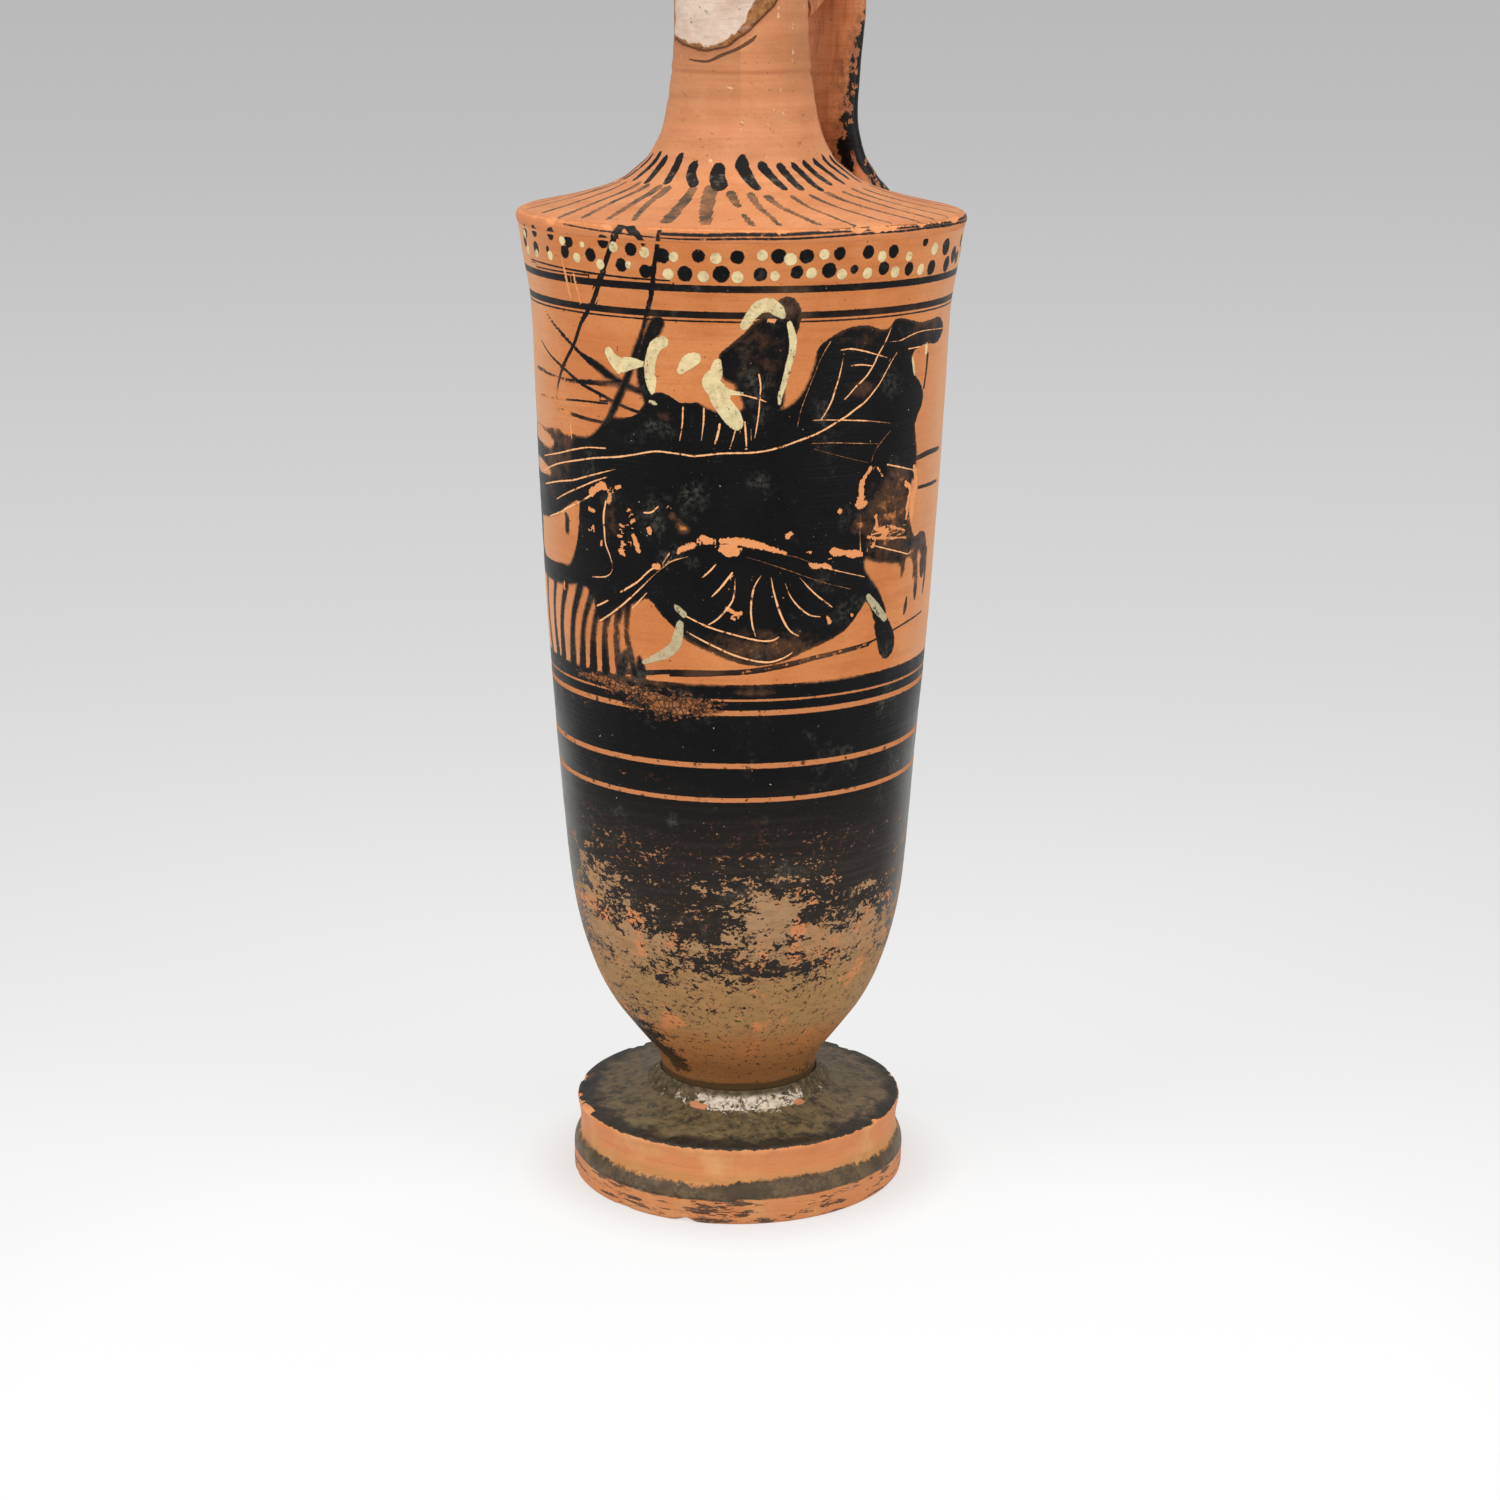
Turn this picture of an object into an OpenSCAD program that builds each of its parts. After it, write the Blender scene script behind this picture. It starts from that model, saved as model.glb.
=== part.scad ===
// Cylinder lekythos: a tall one-handled oil flask of fired clay, thrown in separate pieces
// that the potter joined, with two old repairs in plaster.
// Z is up, z = 0 is the surface the foot rests on, and the handle is on the +Y side.

/* [Body] */
// Radius at the sharp edge between body and shoulder
body_r = 40.3; // [38:0.1:43]
// Height of that edge above the resting surface
edge_z = 183.4; // [178:0.2:188]
// Radius of the stem where the body stands on the foot
stem_r = 15; // [14:0.5:16]
// Thickness of the body wall
wall = 4; // [3:0.25:5]

/* [Foot] */
// Radius of the disc foot at its lower roll
foot_r = 32.3; // [29:0.1:35]
// Height of the foot's upper edge
foot_h = 14.9; // [13:0.1:17]
// Rise of the foot's top from its edge to the stem
foot_rise = 3.1; // [2.6:0.1:3.8]
// Depth of the hollow under the foot
foot_hollow = 6; // [4:0.5:8]
// Size of the plaster fillet around the stem
fillet = 3.6; // [3:0.1:4.5]

/* [Neck and mouth] */
// Outer radius of the neck at its slimmest
neck_r = 11.8; // [11.4:0.1:12.6]
// Radius of the channel through the neck
channel_r = 8.8; // [7.5:0.1:9]
// Height of the neck's top, where the mouth stands on it
neck_top_z = 228; // [225:0.5:232]
// Radius of the round throat in the mouth's base
throat_r = 8.5; // [6:0.1:8.7]
// Length of that throat
throat_l = 6; // [5:0.5:7]
// Outer radius of the mouth at its lip
mouth_r = 24; // [22:0.5:26]
// Height of the mouth
mouth_h = 28; // [25:0.5:31]

/* [Handle] */
// Width of the strap handle at mid height
strap_w = 14; // [12:0.5:16]
// Thickness of the strap
strap_t = 5.4; // [4.8:0.1:6.2]
// Distance of the strap's middle line from the vase's axis
handle_y = 25; // [24:0.1:26.5]

/* [Smoothness] */
// Spline steps between two points of an outline
steps = 4; // [2:1:6]
// Sides of the round shapes in a preview
round_sides = 96; // [48:8:160]

/* [Hidden] */
$fn = round_sides;

clay = "#c77a4e";
gloss = "#1d1b19";
plaster = "#cdb8a8";

stem_z = foot_h + foot_rise;      // seat of the body on the foot
stem_groove = 1.2;                // how much wider than the stem the foot's seat is
body_h = edge_z - stem_z;
floor_z = stem_z + 12;            // inside bottom of the body
rim_r = 0.999 * body_r;           // outside of the body wall at its top
joint_z = edge_z - 1.9;           // seat of the shoulder on the body wall
seat_r = body_r - wall - 0.8;     // inside of that seat
root_z = edge_z + 7.8;            // seat of the neck on the shoulder
root_r = 18.6;                    // radius of the neck's root
root_hole_r = 12.4;               // hole through the shoulder under the neck
seam_r = neck_r + 0.3;            // radius of the neck where the mouth stands on it
lip_w = 3.2;                      // width of the mouth's flat lip
mouth_top = neck_top_z + mouth_h;

// A Catmull-Rom curve through the points, n steps between each pair.
function blend(a, b, c, d, t) =
    0.5 * ((2 * b) + (c - a) * t + (2 * a - 5 * b + 4 * c - d) * t * t
        + (3 * b - a - 3 * c + d) * t * t * t);
function spline(p, n = steps) = [
    for (i = [0 : len(p) - 2], k = [0 : n - 1])
        blend(p[max(i - 1, 0)], p[i], p[i + 1], p[min(i + 2, len(p) - 1)], k / n),
    p[len(p) - 1]
];
function backwards(p) = [for (i = [len(p) - 1 : -1 : 0]) p[i]];

// Outer wall above the stem: shares of the body's greatest radius and of its height.
BODY_SHAPE = [
    [0.378, 0.018], [0.405, 0.038], [0.506, 0.073], [0.61, 0.109], [0.697, 0.157],
    [0.762, 0.218], [0.797, 0.29], [0.824, 0.375], [0.886, 0.586], [0.924, 0.786],
    [0.934, 0.859], [0.945, 0.907], [0.973, 0.949], [0.992, 0.979], [0.999, 0.9885]
];
body_outer = spline(concat(
    [[stem_r, stem_z]],
    [for (p = BODY_SHAPE) [p[0] * body_r, stem_z + p[1] * body_h]]
));
// Inner wall: a round floor, then shares of the same radius and height, one wall further in.
WALL_SHAPE = [[0.75, 0.23], [0.824, 0.387], [0.886, 0.586], [0.924, 0.786], [0.945, 0.907]];
body_inner = spline(concat(
    [[0.2, floor_z], [7, floor_z + 1], [15, floor_z + 6.5], [22, floor_z + 15]],
    [for (p = WALL_SHAPE) [p[0] * body_r - wall, stem_z + p[1] * body_h]],
    [[seat_r, joint_z]]
));
module body() {
    color(gloss)
    rotate_extrude()
        polygon(concat([[0, stem_z]], body_outer, [[rim_r, joint_z]],
            backwards(body_inner), [[0, floor_z]]));
}

// Disc foot: a lower roll, a groove, a slightly hollow upright band and a rising top.
foot_roll = spline([
    [foot_r - 0.5, 0.9], [foot_r, 3.4], [foot_r - 0.05, 5.6], [foot_r - 0.7, 7.2]
]);
foot_band = spline([
    [foot_r - 1.2, 7.8], [foot_r - 1.25, 10.4],
    [foot_r - 0.95, foot_h - 2.1], [foot_r - 0.65, foot_h - 0.9]
]);
foot_top = spline([
    [foot_r - 6, foot_h + 0.5], [foot_r - 11, foot_h + 1.3], [stem_r + stem_groove, stem_z - 0.3]
]);
foot_underside = spline([
    [0, foot_hollow], [6, foot_hollow - 0.5], [14, foot_hollow - 2.4], [foot_r - 12.5, 1]
]);
module foot() {
    color(clay)
    rotate_extrude()
        polygon(concat(
            [[foot_r - 10, 0], [foot_r - 1.1, 0]],
            foot_roll,
            foot_band,
            [[foot_r - 0.9, foot_h - 0.2], [foot_r - 1.6, foot_h]],
            foot_top,
            [[stem_r, stem_z], [0, stem_z]],
            foot_underside
        ));
}

// Plaster left from an old repair, packed into the corner between foot and stem.
function stem_at(z) = lookup(z, [for (p = body_outer) [p[1], p[0]]]);
module foot_join_fill() {
    fill_z = stem_z + 0.55 * fillet;
    color(plaster)
    rotate_extrude()
        polygon([
            [stem_r, stem_z], [stem_r + stem_groove, stem_z - 0.3],
            [stem_r + fillet, foot_h + 1.75], [stem_r + 0.55 * fillet, stem_z + 0.25],
            [stem_at(fill_z), fill_z]
        ]);
}

// Low sloping shoulder with a worn, rounded edge that sits on the body wall.
shoulder_edge = [
    [rim_r, joint_z], [body_r + 0.35, edge_z - 0.9],
    [body_r + 0.2, edge_z - 0.2], [body_r - 0.35, edge_z + 0.25]
];
shoulder_top = spline([
    [body_r - 1.1, edge_z + 0.45], [body_r - 9, edge_z + 2.5], [25, edge_z + 4.55],
    [21.3, edge_z + 6.15], [root_r, root_z]
]);
shoulder_under = spline([
    [root_hole_r, edge_z + 5], [20, edge_z + 1.8], [29, edge_z - 1], [seat_r, joint_z]
]);
module shoulder() {
    color(clay)
    rotate_extrude()
        polygon(concat(shoulder_edge, shoulder_top, [[root_hole_r, root_z]], shoulder_under));
}

// Neck: a wide root that draws in to a slim, almost straight tube.
neck_outer = spline([
    [root_r, root_z], [16.5, root_z + 2], [14.5, root_z + 5.8], [13.3, root_z + 10.8],
    [neck_r + 0.65, root_z + 16.8], [neck_r + 0.1, root_z + 22.8], [neck_r, root_z + 30.8],
    [seam_r, neck_top_z]
]);
neck_inner = [
    [channel_r, neck_top_z], [channel_r, root_z + 7], [channel_r + 1.2, root_z + 3], [root_hole_r, root_z]
];
module neck_tube() {
    rotate_extrude()
        polygon(concat(neck_outer, neck_inner));
}
// Edge of the piece lost from the neck, seen square on: x across, y up from the neck's top.
LOST_EDGE = [
    [-13, 1], [-13, -13], [-10.4, -15.4], [-8, -14.9], [-5.5, -16.2], [-2.5, -16.7], [1.6, -16.8],
    [3.4, -15.9], [4.9, -15.5], [7, -13.7], [8.4, -11.6], [9.2, -9.9], [10, -8.2], [11.3, -4.5],
    [13, -2.5], [13, 1]
];
lost_turn = -75;   // direction that the lost piece faces, from +X
lost_back = 4;     // how far in front of the axis its side edges are
module lost_piece() {
    translate([0, 0, neck_top_z])
    rotate([0, 0, lost_turn + 90])
    translate([0, -lost_back, 0])
    rotate([90, 0, 0])
    linear_extrude(height = 2 * neck_r)
        polygon(LOST_EDGE);
}
module neck() {
    color(clay)
    difference() {
        neck_tube();
        lost_piece();
    }
}
module neck_fill() {
    color(plaster)
    intersection() {
        neck_tube();
        lost_piece();
    }
}

// Cup-shaped mouth with a thick lip, open through a round throat into the neck.
cup_outside = spline([
    [neck_r + 2.6, neck_top_z + 1.2], [mouth_r - 7, neck_top_z + 5.5], [mouth_r - 3.4, neck_top_z + 13],
    [mouth_r - 1.3, mouth_top - 7], [mouth_r - 0.3, mouth_top - 2]
]);
cup_inside = spline([
    [mouth_r - lip_w - 0.9, mouth_top - 1.6], [mouth_r - 6.3, mouth_top - 8],
    [mouth_r - 9.2, mouth_top - 15], [throat_r + 3.2, neck_top_z + throat_l + 2.2],
    [throat_r, neck_top_z + throat_l]
]);
module mouth() {
    color(gloss)
    rotate_extrude()
        polygon(concat(
            [[throat_r, neck_top_z], [seam_r, neck_top_z], [neck_r + 1.9, neck_top_z + 0.3]],
            cup_outside,
            [[mouth_r, mouth_top - 0.8], [mouth_r - 0.7, mouth_top], [mouth_r - lip_w, mouth_top - 0.3]],
            cup_inside
        ));
}

// Middle line of the strap in the plane x = 0: distance from the axis, height, width, thickness.
STRAP = [
    [channel_r + 1.5, neck_top_z - 8.5, strap_w + 1, strap_t + 1],
    [neck_r + 2.5, neck_top_z - 6.5, strap_w, strap_t + 0.3],
    [handle_y - 6.5, neck_top_z - 1.2, strap_w, strap_t],
    [handle_y - 0.5, neck_top_z - 2.6, strap_w, strap_t],
    [handle_y + 1.3, neck_top_z - 9, strap_w, strap_t],
    [handle_y, neck_top_z - 19, strap_w, strap_t],
    [handle_y - 0.8, neck_top_z - 29, strap_w, strap_t],
    [handle_y + 0.4, neck_top_z - 36, strap_w + 1.5, strap_t + 0.5],
    [handle_y + 2.2, neck_top_z - 40, strap_w + 4, strap_t + 2],
    [handle_y + 3.2, neck_top_z - 45, strap_w + 6, strap_t + 3]
];
strap_sides = 24;
strap_steps = 5;
// Rounded flat section at angle a: a superellipse in the strap's own width and thickness.
function rounded(c, power) = sign(c) * pow(abs(c), power);
function section(a, w, t) = [w / 2 * rounded(cos(a), 0.75), t / 2 * rounded(sin(a), 0.85)];
function along(a, b) = [b[0] - a[0], b[1] - a[1]] / norm([b[0] - a[0], b[1] - a[1]]);
function strap_ring(p, run) = [
    for (k = [0 : strap_sides - 1])
        let (s = section(360 * k / strap_sides, p[2], p[3]))
        [s[0], p[0] - run[1] * s[1], p[1] + run[0] * s[1]]
];
module strap() {
    line = spline(STRAP, strap_steps);
    last = len(line) - 1;
    points = [
        for (i = [0 : last])
            each strap_ring(line[i], along(line[max(i - 1, 0)], line[min(i + 1, last)]))
    ];
    sides = [
        for (i = [0 : last - 1], k = [0 : strap_sides - 1])
            let (a = i * strap_sides + k, b = i * strap_sides + (k + 1) % strap_sides)
            each [[a, b, b + strap_sides], [a, b + strap_sides, a + strap_sides]]
    ];
    first_end = [for (k = [strap_sides - 1 : -1 : 0]) k];
    last_end = [for (k = [0 : strap_sides - 1]) last * strap_sides + k];
    polyhedron(points, concat(sides, [first_end, last_end]), convexity = 6);
}
// The strap's ends stop at the outside of the neck and of the shoulder.
module handle() {
    under_z = edge_z - 8;
    color(clay)
    difference() {
        strap();
        rotate_extrude()
            polygon(concat([[0, root_z]], neck_outer, [[0, neck_top_z]]));
        rotate_extrude()
            polygon(concat([[0, under_z], [body_r, under_z]], shoulder_top, [[0, root_z]]));
    }
}

foot();
foot_join_fill();
body();
shoulder();
neck();
neck_fill();
mouth();
handle();
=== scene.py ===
import math

import bpy
import numpy as np
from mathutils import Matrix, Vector
from mathutils.bvhtree import BVHTree


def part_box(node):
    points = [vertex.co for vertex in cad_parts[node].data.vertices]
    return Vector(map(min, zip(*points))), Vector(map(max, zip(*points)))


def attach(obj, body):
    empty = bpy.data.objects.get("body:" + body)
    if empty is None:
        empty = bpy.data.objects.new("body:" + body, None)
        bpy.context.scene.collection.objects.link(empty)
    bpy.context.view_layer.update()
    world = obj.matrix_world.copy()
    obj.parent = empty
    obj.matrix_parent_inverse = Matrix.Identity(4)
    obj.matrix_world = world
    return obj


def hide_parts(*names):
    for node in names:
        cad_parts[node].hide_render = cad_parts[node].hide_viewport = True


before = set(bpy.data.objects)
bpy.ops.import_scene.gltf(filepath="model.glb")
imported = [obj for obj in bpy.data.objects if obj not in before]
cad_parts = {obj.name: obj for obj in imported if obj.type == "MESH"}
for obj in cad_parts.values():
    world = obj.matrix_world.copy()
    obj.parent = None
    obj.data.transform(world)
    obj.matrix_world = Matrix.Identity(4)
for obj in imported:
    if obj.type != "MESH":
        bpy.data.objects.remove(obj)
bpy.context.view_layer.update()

# Looks of a painted clay oil flask: every piece of the frame is stood for by a finer mesh of the same
# outline, with wheel marks, wear and chips, and the painting is laid on as distances from brush strokes.
# Lengths are in millimetres until a mesh is made. On the body, a place is (angle, height): the angle is
# in degrees round the axis from the front, and grows to the right as seen from the camera.

MM = 0.001             # metres
FRONT = -48.0          # polar angle, from +X, of the side that the camera faces

# ---------------------------------------------------------------- heights and radii, from the frame


def corners(node):
    """The lowest and the highest corner of a node's box, in millimetres."""
    low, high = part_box(node)
    return np.array(low) / MM, np.array(high) / MM


FOOT_R = corners("foot")[1][0]
STEM_Z = corners("foot")[1][2]                 # top of the foot, where the stem stands
FOOT_H = STEM_Z - 3.1                          # height of the foot's rim
STEM_R = 15.0
JOINT_Z = corners("body")[1][2]                # top of the body's wall
EDGE_Z = JOINT_Z + 1.9                         # the shoulder's sharp edge
GROUND_Z = EDGE_Z - 79.3                       # top of the black zone under the scene
BODY_R = corners("shoulder")[1][0] - 0.35
ROOT_Z = corners("shoulder")[1][2]             # where the neck stands on the shoulder
ROOT_R = 18.6
HOLE_R = 12.4                                  # radius of the hole under the neck
NECK_TOP = corners("mouth")[0][2]
MOUTH_TOP = corners("mouth")[1][2]
MOUTH_R = corners("mouth")[1][0]
FEEL_FROM = 1.0                                # metres from the axis where the rays start


def cad_radius(node, heights):
    """Outer radius of a turned node at each height, felt with rays from outside."""
    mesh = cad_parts[node].data
    solid = BVHTree.FromPolygons([v.co for v in mesh.vertices], [p.vertices for p in mesh.polygons])
    touches = [solid.ray_cast((FEEL_FROM, 0, z * MM), (-1, 0, 0))[0] for z in heights]
    return np.array([place.x / MM for place in touches])


# ---------------------------------------------------------------- number helpers


def lattice_noise(points, seed):
    """Smooth noise from -1 to 1 with features one unit apart."""
    cell = np.floor(points).astype(np.int64)
    share = points - cell
    share = share * share * (3 - 2 * share)
    total = np.zeros(len(points))
    for corner in range(8):
        step = np.array([corner & 1, corner >> 1 & 1, corner >> 2 & 1])
        key = (cell + step) @ np.array([73856093, 19349663, 83492791]) + seed * 7919
        key = (key ^ (key >> 13)) * 1274126177
        value = ((key ^ (key >> 16)) & 0xFFFF) / 32767.5 - 1
        total += value * np.prod(np.where(step, share, 1 - share), axis=1)
    return total


def noise(points, size, seed, octaves=3):
    """Noise with features of about size millimetres, and finer ones on them."""
    total = sum(lattice_noise(points / size * 2 ** k + 31 * k, seed + k) / 2 ** k for k in range(octaves))
    return total / 1.6


def smooth_step(value, low, high):
    share = np.clip((value - low) / (high - low), 0, 1)
    return share * share * (3 - 2 * share)


def curve(points, step):
    """A smooth curve through the points, with a new point about every step."""
    p = np.array(points, float)
    if len(p) == 2:
        count = max(1, int(np.ceil(np.linalg.norm(p[1] - p[0]) / step)))
        return p[0] + (p[1] - p[0]) * np.linspace(0, 1, count + 1)[:, None]
    p = np.vstack([2 * p[0] - p[1], p, 2 * p[-1] - p[-2]])
    made = []
    for i in range(1, len(p) - 2):
        a, b, c, d = p[i - 1:i + 3]
        count = max(1, int(np.ceil(np.linalg.norm(c - b) / step)))
        t = (np.arange(count) / count)[:, None]
        made.append(0.5 * (2 * b + (c - a) * t + (2 * a - 5 * b + 4 * c - d) * t ** 2
                           + (3 * b - a - 3 * c + d) * t ** 3))
    return np.vstack([*made, p[-2:-1]])


def outline(*runs, step):
    """One outline of (radius, height) from smooth runs that meet at corners."""
    parts = [curve(run, step) for run in runs]
    joined = [parts[0]]
    for part in parts[1:]:
        same = np.linalg.norm(part[0] - joined[-1][-1]) < 1e-6
        joined.append(part[1:] if same else part)
    return np.vstack(joined)


def around(count):
    """Angles of evenly spaced columns."""
    return np.arange(count) * 360.0 / count


def front_columns(front_step, back_step):
    """Angles round the body, closer together on the front half."""
    half = np.pi * BODY_R
    front = np.linspace(-90, 90, int(half / front_step), endpoint=False)
    back = np.linspace(90, 270, int(half / back_step), endpoint=False)
    return np.concatenate([front, back])


def to_xyz(angle, radius, height):
    """Points in the frame, from angle from the front in degrees, radius and height."""
    polar = np.radians(np.asarray(angle) + FRONT)
    return np.stack([radius * np.cos(polar), radius * np.sin(polar), height + 0 * radius], axis=-1)


def wrap(angle):
    """The same angle between -180 and 180 degrees."""
    return (np.asarray(angle) + 180) % 360 - 180


# The vase leans a little to the side: height, shift to the right as seen from the camera.
LEAN = [(0, -0.45), (15, -0.3), (50, -0.5), (85, -0.6), (110, -0.3), (170, 0.35), (185, 0.4), (260, 0.4)]
# Its upper part also tilts: height, drop for each millimetre to the right.
SAG = [(60, 0), (180, 0.009), (260, 0.009)]


def settle(points):
    """The slight lean and sag of a vase that was moved while it was soft."""
    right = np.radians(FRONT + 90)
    across = points[..., 0] * np.cos(right) + points[..., 1] * np.sin(right)
    z = points[..., 2]
    lean = np.interp(z, *np.array(LEAN).T)
    sag = np.interp(z, *np.array(SAG).T)
    moved = points.copy()
    moved[..., 0] += lean * np.cos(right)
    moved[..., 1] += lean * np.sin(right)
    moved[..., 2] -= sag * across * (1 - 0.8 * smooth_step(z, 200, 250))
    return moved


# ---------------------------------------------------------------- mesh helpers


def add_piece(name, points, faces, node, paint):
    """A mesh piece from points in millimetres, which rides on the vase and stands for a node."""
    mesh = bpy.data.meshes.new(name)
    mesh.from_pydata((settle(points) * MM).tolist(), [], faces)
    mesh.validate()
    for key, values in paint.items():
        kind = "FLOAT" if values.ndim == 1 else "FLOAT_COLOR"
        layer = mesh.attributes.new(key, kind, "POINT")
        field = "value" if values.ndim == 1 else "color"
        layer.data.foreach_set(field, values.astype(np.float32).ravel())
    mesh.polygons.foreach_set("use_smooth", np.ones(len(mesh.polygons), bool))
    mesh.set_sharp_from_angle(angle=math.radians(60))
    piece = bpy.data.objects.new(name, mesh)
    bpy.context.scene.collection.objects.link(piece)
    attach(piece, "root")
    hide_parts(node)
    return piece


def grid_faces(rows, columns, loop_rows=False):
    """Quads between rows of points that go round the axis."""
    a = np.arange(rows if loop_rows else rows - 1)[:, None] * columns
    b = (a + columns) % (rows * columns)
    k = np.arange(columns)[None, :]
    n = (k + 1) % columns
    return np.stack([a + k, a + n, b + n, b + k], axis=-1).reshape(-1, 4).tolist()


def fan(pole, ring, columns, flip):
    """Triangles between a point and the ring of points that starts at the given number."""
    k = np.arange(columns)
    n = (k + 1) % columns
    first, second = (n, k) if flip else (k, n)
    return np.stack([np.full(columns, pole), ring + first, ring + second], axis=-1).tolist()


def turned(profile, angles, bottom_pole=None, top_pole=None):
    """Angles, radii, heights and faces of a turned shape, as a closed loop or closed by poles."""
    rows, columns = len(profile), len(angles)
    angle = np.tile(angles, rows)
    radius = np.repeat(profile[:, 0], columns)
    height = np.repeat(profile[:, 1], columns)
    faces = grid_faces(rows, columns, loop_rows=bottom_pole is None)
    for pole, ring, flip in ((bottom_pole, 0, True), (top_pole, (rows - 1) * columns, False)):
        if pole is not None:
            faces += fan(len(angle), ring, columns, flip)
            angle, radius, height = np.append(angle, 0), np.append(radius, 0), np.append(height, pole)
    return angle, radius, height, faces


# ---------------------------------------------------------------- painting: strokes and distances
# A stroke is a list of (angle, height) with an optional half width as a third number. Masses are closed
# outlines of (angle, height). Distances are in millimetres on the surface, positive inside the paint.

REACH = 4.0            # distances to masses and brush strokes are kept up to this far
FINE = 0.62            # brush strokes up to this half width are kept as thin lines
FAR = 0.75             # a thin line is stored this far to each side; lines that cross are in two layers
SEARCH = 2.5           # thin lines are looked for up to this far
MEAN_R = 37.0          # radius at which a stroke is smoothed


def smooth_stroke(points, step=0.4):
    """A stroke as short straight pieces, its angle turned into millimetres at the body's radius."""
    scale = np.array([np.pi / 180 * MEAN_R, 1.0] + [1.0] * (len(points[0]) - 2))
    return curve(np.array(points, float) * scale, step) / scale


def segment_offsets(angle, height, radius, path):
    """From each place, the offset to the nearest point of a path, its distance and the path's width."""
    best = np.full(len(angle), 1e9)
    offset = np.zeros((len(angle), 2))
    width = np.zeros(len(angle))
    scale = radius * np.pi / 180
    for a, b in zip(path[:-1], path[1:]):
        ax, ay = wrap(a[0] - angle) * scale, a[1] - height
        bx, by = (b[0] - a[0]) * scale, np.full(len(angle), b[1] - a[1])
        share = np.clip(-(ax * bx + ay * by) / np.maximum(bx * bx + by * by, 1e-9), 0, 1)
        x, y = ax + share * bx, ay + share * by
        distance = np.hypot(x, y)
        closer = distance < best
        best[closer] = distance[closer]
        offset[closer] = np.stack([x, y], axis=-1)[closer]
        if len(a) > 2:
            width[closer] = (a[2] + share * (b[2] - a[2]))[closer]
    return offset, best, width


def nearby(surface, path, reach):
    """Which places can be within reach of a path."""
    angle, height, radius = surface
    spread = np.degrees(reach / np.maximum(radius, 10))
    low, high = path[:, 0].min(), path[:, 0].max()
    middle, half = (low + high) / 2, (high - low) / 2
    return ((np.abs(wrap(angle - middle)) < half + spread)
            & (height > path[:, 1].min() - reach) & (height < path[:, 1].max() + reach))


def brush(surface, strokes):
    """Signed distance to the union of brush strokes."""
    made = np.full(len(surface[0]), -REACH)
    for points in strokes:
        path = smooth_stroke(points)
        near = nearby(surface, path, REACH + path[:, 2].max())
        if near.any():
            _, distance, width = segment_offsets(*(s[near] for s in surface), path)
            made[near] = np.maximum(made[near], width - distance)
    return made


def inside_outline(angle, height, path):
    """Which places an outline goes round."""
    inside = np.zeros(len(angle), bool)
    turn = wrap(angle - path[0, 0]) + path[0, 0]
    for a, b in zip(path[:-1], path[1:]):
        crosses = (a[1] > height) != (b[1] > height)
        level = a[0] + (height - a[1]) / np.where(b[1] == a[1], 1e-9, b[1] - a[1]) * (b[0] - a[0])
        inside ^= crosses & (turn < level)
    return inside


def mass(surface, outlines):
    """Signed distance to the union of closed masses."""
    made = np.full(len(surface[0]), -REACH)
    for points in outlines:
        path = smooth_stroke(list(points) + [points[0]], 0.8)
        near = nearby(surface, path, REACH)
        if near.any():
            angle, height, radius = (s[near] for s in surface)
            _, distance, _ = segment_offsets(angle, height, radius, path)
            inside = inside_outline(angle, height, path)
            made[near] = np.maximum(made[near], np.where(inside, distance, -distance))
    return made


def scratch(surface, strokes, margin=0.45):
    """Offset to the nearest thin line and its half width, which is below zero away from all lines."""
    made = np.zeros((len(surface[0]), 4))
    made[:, 3] = -1
    closest = np.full(len(surface[0]), SEARCH)
    for points in strokes:
        path = smooth_stroke(points)
        near = np.flatnonzero(nearby(surface, path, SEARCH))
        if len(near):
            offset, distance, width = segment_offsets(*(s[near] for s in surface), path)
            closer = distance < closest[near]
            closest[near[closer]] = distance[closer]
            made[near[closer], :2] = offset[closer]
            reach = np.maximum(FAR, width + margin)
            made[near[closer], 3] = np.where(distance < reach, width, -1)[closer]
    return made


def rings(made, height, levels):
    """Adds thin lines that run right round to a scratch layer: (height, half width)."""
    for level, half in levels:
        distance = np.abs(level - height)
        near = (distance < 1.6) & ((made[:, 3] < 0) | (distance < np.hypot(made[:, 0], made[:, 1])))
        made[near] = 0
        made[near, 1] = (level - height)[near]
        made[near, 3] = half
    return made


# ---------------------------------------------------------------- the painted scene: a rider on a bull
# The rider and the animal are seen in profile, with branches around them, as on many plain flasks.

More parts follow.
